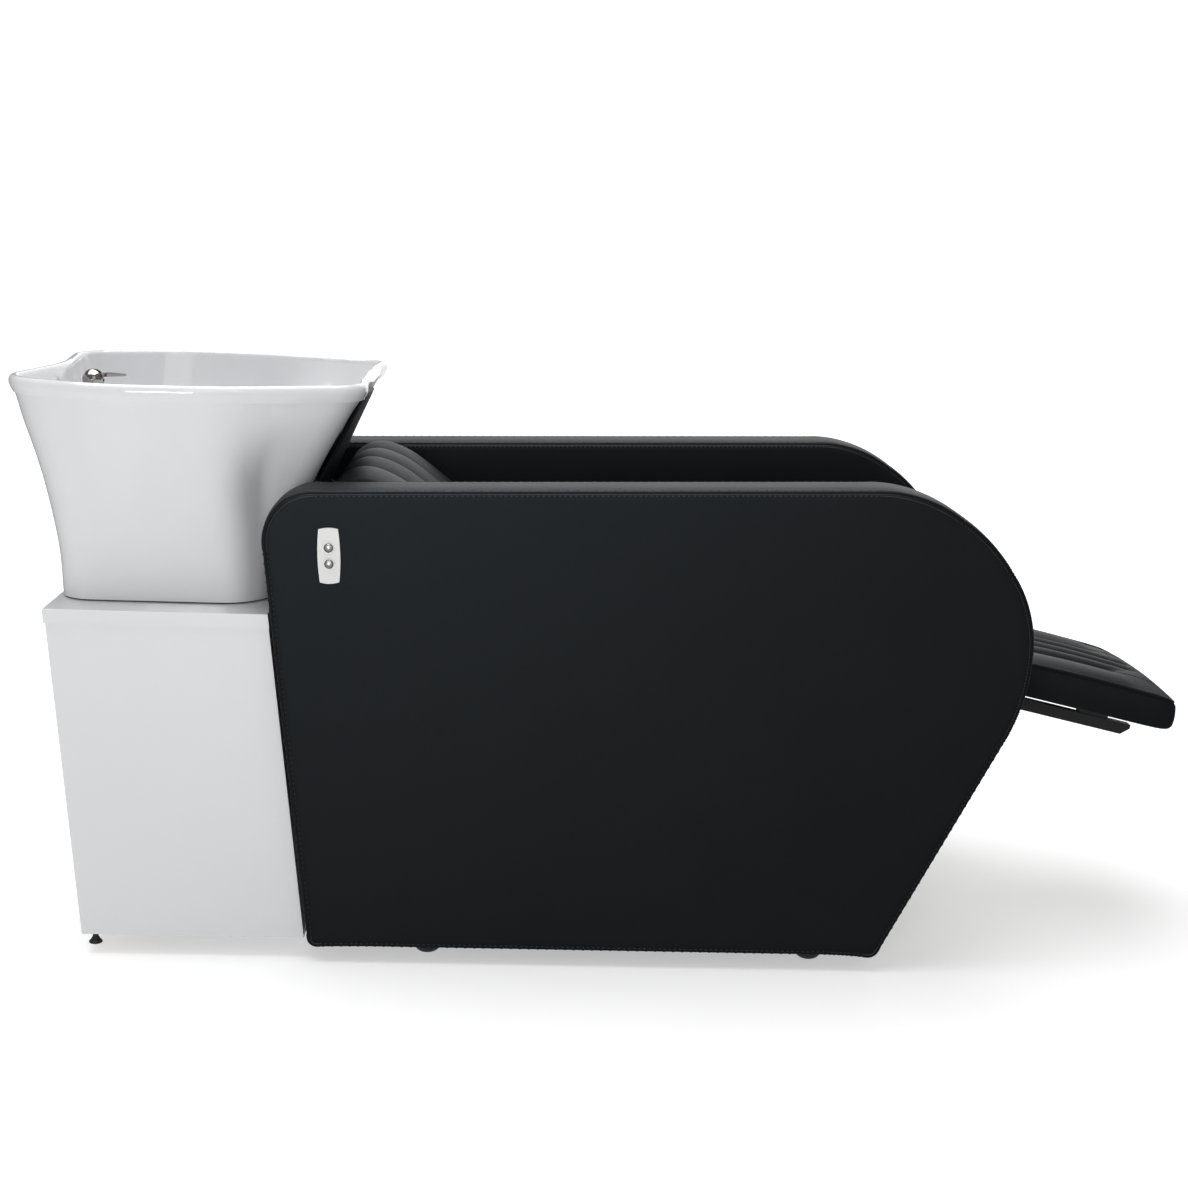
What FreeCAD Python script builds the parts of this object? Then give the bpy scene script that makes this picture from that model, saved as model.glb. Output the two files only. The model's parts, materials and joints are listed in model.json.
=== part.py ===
import FreeCAD, Part
import math
import os

V = FreeCAD.Vector
os.makedirs("parts", exist_ok=True)

# chair arms
ARM_OUT = 320.0
ARM_IN = 220.0
CORE_OUT = 290.0
CORE_IN = 250.0
ARM_EDGE_R = 11.0
# cabinet
CAB_HALF = 302.0
CAB_TOP_Z = 494.0
CAB_TOP_T = 20.0
CAB_BOTTOM = 30.0
PANEL_T = 18.0
# bowl
BOWL_BASE_Z = 496.0
RIM_Z = 792.0
WALL = 12.0
FLOOR_Z = 548.0
FLOOR_T = 13.0
DECK_Z = 735.0
DRAIN_X = -630.0
STRAINER_R = 1.8
OUTLET_R = 20.0
# tap and handset
TAP_X = -767.0
HANDSET_X = -760.0
HANDSET_Y = -110.0
# seat
RAIL_Z0 = 340.0
RAIL_Z1 = 380.0
BOARD_Z0 = 380.2
BOARD_Z1 = 395.2
SEAT_HALF = 213.0
# leg-rest
PIVOT_X = 530.0
PIVOT_Z = 366.0
REST_TILT = 12.5
PAD_HALF = 165.0
PAD_FRONT = 311.0
PAD_W0 = 20.0
BAR_Y = 80.0
CRANK_L = 66.0
CRANK_ANGLE = 36.0
SHAFT_R = 10.0
# switch
SWITCH_X = -387.0
SWITCH_Z = 580.5
BUTTON_R = 6.0


def box(x0, x1, y0, y1, z0, z1):
    return Part.makeBox(x1 - x0, y1 - y0, z1 - z0, V(x0, y0, z0))


def cyl(r, p, d, h):
    return Part.makeCylinder(r, h, V(*p), V(*d))


def tube(r, r_in, p, d, h):
    return cyl(r, p, d, h).cut(cyl(r_in, p, d, h))


def prism(points, y0, y1):
    """Closed polygon in X and Z, drawn out along Y."""
    wire = Part.makePolygon([V(x, y0, z) for x, z in points + points[:1]])
    return Part.Face(wire).extrude(V(0, y1 - y0, 0))


def export(name, shape):
    shape.exportStep("parts/" + name + ".step")


def both(name, shape):
    """The near piece and its mirror image on the far side."""
    export(name + "_near", shape)
    export(name + "_far", shape.mirror(V(0, 0, 0), V(0, 1, 0)))


def pair(name, *shapes):
    """Pieces and their mirror images together in one node."""
    far = [shape.mirror(V(0, 0, 0), V(0, 1, 0)) for shape in shapes]
    export(name, Part.makeCompound([solid for shape in list(shapes) + far for solid in shape.Solids]))


# outlines made of lines and arcs


def inset_loop(loop, inset):
    """Closed polygon moved inward by a distance; each corner keeps its point and its tangent length."""
    n = len(loop)
    area = sum(loop[i - 1][0] * loop[i][1] - loop[i][0] * loop[i - 1][1] for i in range(n))
    side = 1.0 if area > 0 else -1.0
    out = []
    for i in range(n):
        ax, ay = loop[i - 1][:2]
        px, py, d = loop[i]
        bx, by = loop[(i + 1) % n][:2]
        l1 = math.hypot(px - ax, py - ay)
        l2 = math.hypot(bx - px, by - py)
        n1 = (-side * (py - ay) / l1, side * (px - ax) / l1)
        n2 = (-side * (by - py) / l2, side * (bx - px) / l2)
        k = inset / (1.0 + n1[0] * n2[0] + n1[1] * n2[1])
        turn = side * (n1[0] * n2[1] - n1[1] * n2[0])
        half_turn = math.atan2(turn, 1.0 + n1[0] * n2[0] + n1[1] * n2[1])
        out.append((px + k * (n1[0] + n2[0]), py + k * (n1[1] + n2[1]), d - inset * math.tan(half_turn)))
    return out


def rounded(loop, place):
    """Wire of lines and tangent arcs; a corner's arc starts its tangent length away from the corner."""
    n = len(loop)
    ends = []
    for i in range(n):
        px, py, d = loop[i]
        pts = []
        for qx, qy in (loop[i - 1][:2], loop[(i + 1) % n][:2]):
            length = math.hypot(qx - px, qy - py)
            pts.append((px + d * (qx - px) / length, py + d * (qy - py) / length))
        mx, my = (pts[0][0] + pts[1][0]) / 2 - px, (pts[0][1] + pts[1][1]) / 2 - py
        depth = math.hypot(mx, my)
        chord = math.hypot(pts[0][0] - pts[1][0], pts[0][1] - pts[1][1]) / 2
        radius = d * chord / depth
        reach = d * d / depth - radius
        ends.append((pts[0], (px + mx / depth * reach, py + my / depth * reach), pts[1]))
    edges = []
    for i in range(n):
        start, middle, end = ends[i]
        edges.append(Part.Arc(place(*start), place(*middle), place(*end)).toShape())
        edges.append(Part.makeLine(place(*end), place(*ends[(i + 1) % n][0])))
    return Part.Wire(edges)


# arms

ARM_LOOP = [(-414.4, 22, 13), (386.5, 22, 10), (578, 400, 68), (578, 527, 58), (513, 622.5, 47), (434.7, 674.4, 35),
            (375, 689.2, 25), (-418.8, 666.3, 8), (-452.7, 656.6, 24), (-480.6, 613.2, 26)]


def on_side(y):
    return lambda x, z: V(x, y, z)


def arm_slab(inset, y0, y1):
    return Part.Face(rounded(inset_loop(ARM_LOOP, inset), on_side(y0))).extrude(V(0, y1 - y0, 0))


def arm():
    """Padded panel with rounded edges."""
    body = arm_slab(0.0, -ARM_OUT, -ARM_IN)
    return body.makeFillet(ARM_EDGE_R, [e for e in body.Edges if e.BoundBox.YLength < 1e-3])


CORE_INSET = 30.0
CORE_LOOP = [(-415, 27), (389, 27), (570, 385), (573, 530), (505, 620), (400, 685), (-430, 665), (-479, 600)]
CORE_LOOP = [(x, z, 4.0) for x, z in CORE_LOOP]


def core_slab(inset, grow):
    pts = [(x, z) for x, z, d in inset_loop(CORE_LOOP, inset)]
    return prism(pts, -CORE_OUT - grow, -CORE_IN + grow)


core = core_slab(CORE_INSET, 0.0)
arm_near = arm().cut(core_slab(CORE_INSET - 0.3, 0.3))
BOLTS = [(-380, 360), (60, 360), (440, 360)]
for bx, bz in BOLTS:
    hole = cyl(5.0, (bx, -CORE_IN - 25, bz), (0, 1, 0), 60)
    arm_near = arm_near.cut(hole)
    core = core.cut(cyl(4.2, (bx, -CORE_IN - 25, bz), (0, 1, 0), 60))
GLIDES = [-249.0, 298.0]
GLIDE_Y = -264.0
for gx in GLIDES:
    arm_near = arm_near.cut(cyl(5.0, (gx, GLIDE_Y, 15), (0, 0, 1), 47))
    core = core.cut(cyl(4.2, (gx, GLIDE_Y, 50), (0, 0, 1), 42))
arm_far = arm_near.mirror(V(0, 0, 0), V(0, 1, 0))
pair("arm_cores", core)


def glide(gx, gy):
    """Domed glide on a stud."""
    pts = [V(0, 0, 0), V(8, 0, 0), V(18, 0, 7), V(19, 0, 10), V(19, 0, 18), V(17.5, 0, 21.7), V(4, 0, 21.7),
           V(4, 0, 84), V(0, 0, 84), V(0, 0, 0)]
    lines = [Part.makeLine(pts[i], pts[i + 1]) for i in range(len(pts) - 1)]
    lines[1] = Part.Arc(pts[1], V(14.4, 0, 2.6), pts[2]).toShape()
    solid = Part.Face(Part.Wire(lines)).revolve(V(0, 0, 0), V(0, 0, 1), 360)
    solid.translate(V(gx, gy, 0))
    return solid


pair("arm_glides", glide(GLIDES[0], GLIDE_Y), glide(GLIDES[1], GLIDE_Y))
bolts = []
for bx, bz in BOLTS:
    bolts.append(cyl(4.0, (bx, -CORE_IN - 22, bz), (0, 1, 0), CORE_IN + 22 - 199.0).fuse(
        cyl(7.0, (bx, -199.4, bz), (0, 1, 0), 5.0)))
pair("arm_bolts", *bolts)

# switch on the near arm


def tilt(shape):
    shape.rotate(V(SWITCH_X, 0, SWITCH_Z), V(0, 1, 0), -2.0)
    return shape


def barrel(hw, hh, bow_x, bow_z, y0, y1):
    """Plate with four bowed sides."""
    x0, x1, z0, z1 = SWITCH_X - hw, SWITCH_X + hw, SWITCH_Z - hh, SWITCH_Z + hh
    edges = [Part.Arc(V(x0, y0, z0), V(SWITCH_X, y0, z0 - bow_z), V(x1, y0, z0)).toShape(),
             Part.Arc(V(x1, y0, z0), V(x1 + bow_x, y0, SWITCH_Z), V(x1, y0, z1)).toShape(),
             Part.Arc(V(x1, y0, z1), V(SWITCH_X, y0, z1 + bow_z), V(x0, y0, z1)).toShape(),
             Part.Arc(V(x0, y0, z1), V(x0 - bow_x, y0, SWITCH_Z), V(x0, y0, z0)).toShape()]
    return Part.Face(Part.Wire(edges)).extrude(V(0, y1 - y0, 0))


BUTTONS = [("button_up", SWITCH_Z + 11.0), ("button_down", SWITCH_Z - 11.0)]
plate = barrel(13.0, 36.0, 2.2, 2.0, -ARM_OUT - 3.2, -ARM_OUT - 0.2)
switch_box = box(SWITCH_X - 11, SWITCH_X + 11, -ARM_OUT - 0.2, -CORE_OUT - 1.5, SWITCH_Z - 30, SWITCH_Z + 30)
arm_near = arm_near.cut(tilt(box(SWITCH_X - 12, SWITCH_X + 12, -ARM_OUT - 1, -CORE_OUT - 0.5, SWITCH_Z - 31,
                                 SWITCH_Z + 31)))
for bname, bz in BUTTONS:
    plate = plate.fuse(tube(7.4, BUTTON_R + 0.25, (SWITCH_X, -ARM_OUT - 4.4, bz), (0, 1, 0), 2.0))
for bname, bz in BUTTONS:
    plate = plate.cut(cyl(BUTTON_R + 0.25, (SWITCH_X, -ARM_OUT - 5, bz), (0, 1, 0), 6))
    switch_box = switch_box.cut(cyl(BUTTON_R + 1.5, (SWITCH_X, -ARM_OUT - 1, bz), (0, 1, 0), 9))
    cap = cyl(BUTTON_R, (SWITCH_X, -ARM_OUT - 6.4, bz), (0, 1, 0), 8.4)
    cap = cap.makeFillet(0.9, [e for e in cap.Edges if abs(e.BoundBox.YMin + ARM_OUT + 6.4) < 0.01
                               and e.BoundBox.YLength < 0.01])
    stem = cyl(2.0, (SWITCH_X, -ARM_OUT + 1.9, bz), (0, 1, 0), 3.0)
    export(bname, tilt(cap.fuse(stem)))
export("switch_plate", tilt(plate))
export("switch_box", tilt(switch_box))
export("arm_near", arm_near)
export("arm_far", arm_far)

# bowl

# half outlines from the rear middle round to the front middle, with tangent lengths
RIM_HALF = [(-813, 0, 70), (-846, 240, 72), (-690, 318, 50), (-540, 306, 40), (-440, 268, 25), (-346, 226, 45),
            (-364, 0, 60)]
BASE_HALF = [(-765, 0, 70), (-768, 243, 45), (-690, 245, 20), (-520, 245, 24), (-489, 212, 10), (-474, 172, 16),
             (-487, 0, 60)]
REAR_FLARE = [0.0, 0.03, 0.09, 0.2, 0.35, 0.57, 0.79, 1.0]
LEVELS = [496.0, 530.0, 570.0, 610.0, 655.0, 705.0, 750.0, 792.0]
# each point's shares of the rear, front and shoulder flares; the shoulder stays clear of the arms up to their top
FLARE_MIX = [(1, 0, 0), (1, 0, 0), (0.85, 0.15, 0), (0.5, 0.5, 0), (0, 0, 1), (0, 1, 0), (0, 1, 0)]
SHOULDER_Z = 676.0


# rolled lip: heights and distances from the rim outline
LIP_OUTER = [(777.0, 4.0), (784.0, 0.5), (791.0, -1.5), (796.0, -0.5), (800.0, 4.0)]
LIP_INNER = [(777.0, 12.0), (792.0, 12.0), (797.0, 10.5), (800.5, 6.0)]


def flare(z):
    """Shares of the way from base outline to rim outline: rear, front and shoulder."""
    rear = REAR_FLARE[0] if z < LEVELS[0] else REAR_FLARE[-1]
    for i in range(len(LEVELS) - 1):
        if LEVELS[i] <= z <= LEVELS[i + 1]:
            t = (z - LEVELS[i]) / (LEVELS[i + 1] - LEVELS[i])
            rear = REAR_FLARE[i] + (REAR_FLARE[i + 1] - REAR_FLARE[i]) * t
    front = min(1.0, max(0.0, (z - BOWL_BASE_Z) / (RIM_Z - BOWL_BASE_Z)))
    shoulder = min(1.0, max(0.0, (z - SHOULDER_Z) / (RIM_Z - SHOULDER_Z)))
    return rear, front ** 1.5, shoulder


def outline(z, inset):
    """Outline of the bowl at a height, moved inward by a distance."""
    half = []
    for base, rim, mix in zip(BASE_HALF, RIM_HALF, FLARE_MIX):
        g = sum(share * f for share, f in zip(mix, flare(z)))
        half.append(tuple(p + g * (q - p) for p, q in zip(base, rim)))
    return inset_loop(half + [(x, -y, d) for x, y, d in half[-2:0:-1]], inset)


def at_height(z):
    return lambda x, y: V(x, y, z)


def loft(sections):
    return Part.makeLoft([rounded(loop, at_height(z)) for z, loop in sections], True, False)


outer = loft([(z, outline(z, 0.0)) for z in LEVELS])
cavity = loft([(z, outline(z, WALL)) for z in [490.0, 530.0, 570.0, 610.0, 655.0, 705.0, DECK_Z - 13]])
upper = loft([(z, outline(z, WALL)) for z in [DECK_Z, 760.0, 800.0]])


BASIN_MARGIN = 24.0
BASIN_REAR = -720.0


def basin_outline(z, grow):
    """Basin outline: inside the wall at the deck, closing in to the floor; its rear stands off for the tap deck."""
    t = (DECK_Z - z) / (DECK_Z - FLOOR_Z)
    shrink = 1.0 - 0.34 * t ** 1.6
    cx = DRAIN_X + 20 * (1 - t)
    wall = outline(z, BASIN_MARGIN)[2:len(BASE_HALF)]
    width = wall[0][1]
    half = [(BASIN_REAR, 0, 60), (BASIN_REAR - 8, width - 12, 42), (-640, width, 30)] + wall[1:]
    half = [(cx + (x - cx) * shrink, y * shrink, d * shrink) for x, y, d in half]
    return inset_loop(half + [(x, -y, d) for x, y, d in half[-2:0:-1]], -grow)


B_LEVELS = [FLOOR_Z, 572.0, 620.0, 675.0, DECK_Z]
basin = loft([(z, basin_outline(z, 0.0)) for z in B_LEVELS])
basin_skin = loft([(z, basin_outline(z, FLOOR_T)) for z in [FLOOR_Z - FLOOR_T] + B_LEVELS[1:]])
skirt = outer.cut(cavity)
foot_ring = loft([(496.0, outline(496.0, 2.0)), (514.0, outline(514.0, 2.0))]).cut(
    loft([(495.0, outline(496.0, 36.0)), (515.0, outline(514.0, 36.0))]))
deck = loft([(DECK_Z - 13.5, outline(DECK_Z - 13.5, 2.0)), (DECK_Z, outline(DECK_Z, 2.0))])
bowl = skirt.fuse([basin_skin.common(outer), deck, foot_ring])
bowl = bowl.cut(basin).cut(upper)
lip = loft([(z, outline(RIM_Z, inset)) for z, inset in LIP_OUTER])
lip = lip.cut(loft([(z, outline(RIM_Z, inset)) for z, inset in LIP_INNER]))
bowl = bowl.fuse(lip)
NOTCH_HALF = 126.0
NOTCH_DROP = 28.0
notch = [(-NOTCH_HALF - 20, 830, 3), (-NOTCH_HALF, RIM_Z + 4, 14), (-NOTCH_HALF / 2, RIM_Z - NOTCH_DROP, 45),
         (NOTCH_HALF / 2, RIM_Z - NOTCH_DROP, 45), (NOTCH_HALF, RIM_Z + 4, 14), (NOTCH_HALF + 20, 830, 3)]
notch_face = Part.Face(rounded(notch, lambda y, z: V(-470, y, z)))
bowl = bowl.cut(notch_face.extrude(V(140, 0, 0)))
bowl = bowl.cut(cyl(25.0, (DRAIN_X, 0, FLOOR_Z - 30), (0, 0, 1), 60))
bowl = bowl.cut(cyl(36.0, (DRAIN_X, 0, FLOOR_Z - 4), (0, 0, 1), 10))
bowl = bowl.cut(cyl(13.0, (TAP_X, 0, DECK_Z - 40), (0, 0, 1), 60))
bowl = bowl.cut(cyl(16.5, (HANDSET_X, HANDSET_Y, DECK_Z - 40), (0, 0, 1), 60))
BOWL_BOLTS = [(-700, 222), (-700, -222), (-540, 222), (-540, -222)]
for bx, by in BOWL_BOLTS:
    bowl = bowl.cut(cyl(4.3, (bx, by, 490), (0, 0, 1), 19))
export("bowl", bowl)
gasket = Part.Face(rounded(outline(496.0, 3.0), at_height(CAB_TOP_Z))).extrude(V(0, 0, BOWL_BASE_Z - CAB_TOP_Z))
gasket = gasket.cut(Part.Face(rounded(outline(496.0, 34.0), at_height(490))).extrude(V(0, 0, 20)))
for bx, by in BOWL_BOLTS:
    gasket = gasket.cut(cyl(4.3, (bx, by, 490), (0, 0, 1), 19))
export("bowl_gasket", gasket)
export("bowl_bolts", Part.makeCompound([
    cyl(4.0, (bx, by, CAB_TOP_Z - CAB_TOP_T - 1), (0, 0, 1), 33).fuse(
        cyl(9.0, (bx, by, CAB_TOP_Z - CAB_TOP_T - 7.2), (0, 0, 1), 7.0)) for bx, by in BOWL_BOLTS]))

# waste

flange = cyl(35.5, (DRAIN_X, 0, FLOOR_Z - 4), (0, 0, 1), 3.5).fuse(cyl(23.5, (DRAIN_X, 0, 488), (0, 0, 1), 58))
flange = flange.cut(cyl(20.5, (DRAIN_X, 0, 480), (0, 0, 1), 61))
for ring, count in [(0, 1), (7, 6), (14, 12)]:
    for k in range(count):
        a = 2 * math.pi * k / count
        hole = (DRAIN_X + ring * math.cos(a), ring * math.sin(a), 535)
        flange = flange.cut(cyl(STRAINER_R, hole, (0, 0, 1), 20))
export("waste_flange", flange)
export("waste_washer", tube(32.0, 23.7, (DRAIN_X, 0, FLOOR_Z - FLOOR_T - 4.2), (0, 0, 1), 4.0))
nut = Part.Face(Part.makePolygon([V(DRAIN_X + 36 * math.cos(math.radians(60 * k)),
                                    36 * math.sin(math.radians(60 * k)), 516) for k in range(7)]))
export("waste_nut", nut.extrude(V(0, 0, 14.6)).cut(cyl(23.6, (DRAIN_X, 0, 510), (0, 0, 1), 30)))
export("waste_tailpipe", tube(20.3, 17.5, (DRAIN_X, 0, 380), (0, 0, 1), 130))
trap = cyl(36.0, (DRAIN_X, 0, 310), (0, 0, 1), 100).fuse(cyl(26.0, (DRAIN_X, 0, 408), (0, 0, 1), 22))
trap = trap.fuse(cyl(22.0, (DRAIN_X, 0, 385), (-1, 0, 0), 40))
trap = trap.cut(cyl(32.0, (DRAIN_X, 0, 314), (0, 0, 1), 92)).cut(cyl(20.5, (DRAIN_X, 0, 400), (0, 0, 1), 40))
trap = trap.cut(cyl(18.0, (DRAIN_X, 0, 385), (-1, 0, 0), 60))
export("bottle_trap", trap)
elbow_x = DRAIN_X - 62
outlet = cyl(21.0, (elbow_x, 0, 145), (0, 0, 1), 240).fuse(Part.makeSphere(21.0, V(elbow_x, 0, 385)))
outlet = outlet.fuse(cyl(OUTLET_R, (elbow_x, 0, 85), (0, 0, 1), 60))
outlet = outlet.fuse(cyl(17.8, (elbow_x, 0, 385), (1, 0, 0), 34))
bore = cyl(16.0, (elbow_x, 0, 75), (0, 0, 1), 310).fuse(Part.makeSphere(16.0, V(elbow_x, 0, 385)))
bore = bore.fuse(cyl(15.0, (elbow_x, 0, 385), (1, 0, 0), 50))
export("waste_outlet_pipe", outlet.cut(bore))

# mixer tap and shower handset

mixer = cyl(19.0, (TAP_X, 0, DECK_Z + 0.1), (0, 0, 1), 5).fuse(cyl(17.0, (TAP_X, 0, DECK_Z + 5), (0, 0, 1), 24))
mixer = mixer.fuse(cyl(12.0, (TAP_X, 0, DECK_Z - 45), (0, 0, 1), 46))
mixer = mixer.cut(cyl(5.1, (TAP_X, 0, DECK_Z + 15), (0, 0, 1), 20))
export("mixer_body", mixer)
mixer_nut = Part.Face(Part.makePolygon([V(TAP_X + 16.5 * math.cos(math.radians(60 * k + 30)),
                                          16.5 * math.sin(math.radians(60 * k + 30)), 711) for k in range(7)]))
export("mixer_nut", mixer_nut.extrude(V(0, 0, 10)).cut(cyl(12.1, (TAP_X, 0, 700), (0, 0, 1), 30)))
CAP_Z = DECK_Z + 41.0
PIN_X = TAP_X + 4.0
PIN_Z = CAP_Z + 4.0
cap = Part.makeSphere(16.0, V(TAP_X, 0, CAP_Z)).common(box(TAP_X - 20, TAP_X + 20, -20, 20, DECK_Z + 29.3, 800))
cap = cap.fuse(cyl(5.0, (TAP_X, 0, DECK_Z + 16), (0, 0, 1), 20))
cap = cap.cut(box(TAP_X - 6, TAP_X + 20, -4.6, 4.6, CAP_Z - 1.5, 800))
cap = cap.cut(cyl(2.05, (PIN_X, -20, PIN_Z), (0, 1, 0), 40))
export("mixer_cap", cap)
LEVER = [(-770, CAP_Z + 1), (-770, CAP_Z + 7), (-765, CAP_Z + 9.5), (-750, CAP_Z + 10.5), (-719, CAP_Z + 9.5),
         (-719, CAP_Z + 6.5), (-750, CAP_Z + 5), (-752, CAP_Z + 1)]
lever = prism(LEVER, -9, 9)
taper = Part.makePolygon([V(-771, -4.2, 700), V(-750, -4.2, 700), V(-745, -8.5, 700), V(-719, -3, 700),
                          V(-719, 3, 700), V(-745, 8.5, 700), V(-750, 4.2, 700), V(-771, 4.2, 700),
                          V(-771, -4.2, 700)])
lever = lever.common(Part.Face(taper).extrude(V(0, 0, 120))).cut(cyl(2.05, (PIN_X, -20, PIN_Z), (0, 1, 0), 40))
export("mixer_lever", lever)
export("lever_pin", cyl(2.0, (PIN_X, -13.5, PIN_Z), (0, 1, 0), 27))
socket = tube(21.0, 13.0, (HANDSET_X, HANDSET_Y, DECK_Z + 0.2), (0, 0, 1), 4).fuse(
    tube(16.0, 13.0, (HANDSET_X, HANDSET_Y, DECK_Z - 30), (0, 0, 1), 31))
export("handset_socket", socket)
HAND = [(0, 660), (9, 660), (12.6, 672), (12.9, 735), (12.9, 739.5), (18, 743), (20, 752), (20, 764), (16, 770),
        (0, 770)]
hand_wire = Part.makePolygon([V(r, 0, z) for r, z in HAND + HAND[:1]])
handset = Part.Face(hand_wire).revolve(V(0, 0, 0), V(0, 0, 1), 360)
handset.translate(V(HANDSET_X, HANDSET_Y, 0))
export("shower_handset", handset)

# cabinet


def back_x(z):
    return -731.0 - 0.0913 * (z - 43.0)


def front_x(z):
    return -421.0 - 0.11 * (z - 30.0)


TOP_Z0 = CAB_TOP_Z - CAB_TOP_T
top = prism([(back_x(TOP_Z0) - 2, TOP_Z0), (front_x(TOP_Z0) + 1, TOP_Z0), (front_x(CAB_TOP_Z) + 1, CAB_TOP_Z),
             (back_x(CAB_TOP_Z) - 2, CAB_TOP_Z)], -CAB_HALF - 2, CAB_HALF + 2)
top = top.makeFillet(1.2, [e for e in top.Edges if e.BoundBox.ZMin > CAB_TOP_Z - 1])
top = top.cut(cyl(45.0, (DRAIN_X, 0, 400), (0, 0, 1), 200))
for bx, by in BOWL_BOLTS:
    top = top.cut(cyl(4.5, (bx, by, 400), (0, 0, 1), 200))
export("cabinet_top", top)
SIDE_TOP = TOP_Z0 - 0.1
FOOT_X = back_x(CAB_BOTTOM) + PANEL_T / 2.0
FOOT_Y = -257.0
side = prism([(back_x(CAB_BOTTOM), CAB_BOTTOM), (front_x(CAB_BOTTOM), CAB_BOTTOM), (front_x(SIDE_TOP), SIDE_TOP),
              (back_x(SIDE_TOP), SIDE_TOP)], -CAB_HALF, -CAB_HALF + PANEL_T)
both("cabinet_side", side)
INNER = CAB_HALF - PANEL_T - 0.2


def upright(edge, inward, z0, z1):
    """Panel between the sides, set on the slanted front or back line."""
    pts = [(edge(z0), z0), (edge(z0) + inward, z0), (edge(z1) + inward, z1), (edge(z1), z1)]
    return prism(pts, -INNER, INNER)


LINK_Y = 209.7
front_panel = upright(front_x, -PANEL_T, CAB_BOTTOM, SIDE_TOP)
back_panel = upright(back_x, PANEL_T, CAB_BOTTOM, SIDE_TOP)
for sign in (-1, 1):
    front_panel = front_panel.cut(cyl(4.2, (-500, sign * LINK_Y, 360), (1, 0, 0), 80))
export("cabinet_front", front_panel)
PANEL_SCREWS = [(60, -235), (60, 235), (445, -235), (445, 235)]
SCREW_CLEAT = PANEL_T + 0.2
screws = []
for sz, sy in PANEL_SCREWS:
    sx = back_x(sz)
    back_panel = back_panel.cut(cyl(3.2, (sx - 5, sy, sz), (1, 0, 0), 40))
    screws.append(cyl(2.9, (sx - 1.2, sy, sz), (1, 0, 0), 38).fuse(cyl(5.5, (sx - 3.9, sy, sz), (1, 0, 0), 3.0)))
for sign in (-1, 1):
    back_panel = back_panel.cut(cyl(4.1, (FOOT_X, sign * FOOT_Y, 20), (0, 0, 1), 40))
export("cabinet_back_panel", back_panel)
export("panel_screws", Part.makeCompound(screws))
rails = []
for z0, z1 in ((425, 465), (40, 80)):
    rail = prism([(back_x(z0) + SCREW_CLEAT, z0), (back_x(z0) + SCREW_CLEAT + 22, z0),
                  (back_x(z1) + SCREW_CLEAT + 22, z1), (back_x(z1) + SCREW_CLEAT, z1)], -INNER, INNER)
    for sz, sy in PANEL_SCREWS:
        rail = rail.cut(cyl(2.95, (back_x(sz) + 10, sy, sz), (1, 0, 0), 40))
    rails.append(rail)
rails[1] = rails[1].cut(box(-730, -660, -40, 40, 30, 90))
export("cabinet_rails", Part.makeCompound(rails))
foot = cyl(9.5, (FOOT_X, FOOT_Y, 0), (0, 0, 1), 3)
foot = foot.makeFillet(1.2, [e for e in foot.Edges if e.BoundBox.ZLength < 0.01])
foot = foot.fuse(Part.makeCone(8.2, 4.6, 6.0, V(FOOT_X, FOOT_Y, 2.8), V(0, 0, 1)))
foot = foot.fuse(cyl(4.0, (FOOT_X, FOOT_Y, 5), (0, 0, 1), 32)).fuse(cyl(6.5, (FOOT_X, FOOT_Y, 24), (0, 0, 1), 5.8))
pair("levelling_feet", foot)

# seat frame

RAIL_X0 = -448.0
RAIL_X1 = 505.0
rail = box(RAIL_X0, RAIL_X1, -219.7, -199.7, RAIL_Z0, RAIL_Z1).cut(
    box(RAIL_X0 + 5, RAIL_X1 + 1, -217.7, -201.7, RAIL_Z0 + 2, RAIL_Z1 - 2))
rail = rail.cut(cyl(4.2, (RAIL_X0 - 5, -LINK_Y, 360), (1, 0, 0), 20))
for bx, bz in BOLTS:
    rail = rail.cut(cyl(4.3, (bx, -225, bz), (0, 1, 0), 40))
both("seat_rail", rail)
link = cyl(4.0, (-481, -LINK_Y, 360), (1, 0, 0), 45).fuse(cyl(8.0, (-484, -LINK_Y, 360), (1, 0, 0), 5.0))
pair("link_bolts", link)
crosses = []
for cx in (425.0, 120.0, -160.0):
    crosses.append(box(cx, cx + 30, -199.5, 199.5, 345, 375).cut(box(cx + 2, cx + 28, -200, 200, 347, 373)))
export("cross_tubes", Part.makeCompound(crosses))
board = box(-72, 512, -215, 215, BOARD_Z0, BOARD_Z1)
board = board.makeFillet(8, [e for e in board.Edges if e.BoundBox.ZLength > 10])
export("seat_board", board)


def channel_section(place, half, edge_h, crown, channels):
    """Cushion section: flat back, drawn-in sides, and a row of arcs across the top."""
    step = 2.0 * (half - 6) / channels
    pts = [(-half + 4, 0.0), (-half, edge_h * 0.45), (-half + 6, edge_h)]
    edges = [Part.Arc(place(*pts[0]), place(-half + 0.6, edge_h * 0.2), place(*pts[1])).toShape(),
             Part.Arc(place(*pts[1]), place(-half + 1.6, edge_h * 0.8), place(*pts[2])).toShape()]
    for k in range(channels):
        a = -half + 6 + step * k
        edges.append(Part.Arc(place(a, edge_h), place(a + step / 2, edge_h + crown),
                              place(a + step, edge_h)).toShape())
    edges.append(Part.Arc(place(half - 6, edge_h), place(half - 1.6, edge_h * 0.8),
                          place(half, edge_h * 0.45)).toShape())
    edges.append(Part.Arc(place(half, edge_h * 0.45), place(half - 0.6, edge_h * 0.2), place(half - 4, 0)).toShape())
    edges.append(Part.makeLine(place(half - 4, 0), place(-half + 4, 0)))
    return Part.Wire(edges)


def station(px, pz, nx, nz):
    """Section frame: across is Y, up is a direction in X and Z."""
    return lambda across, up: V(px + nx * up, across, pz + nz * up)


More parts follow.
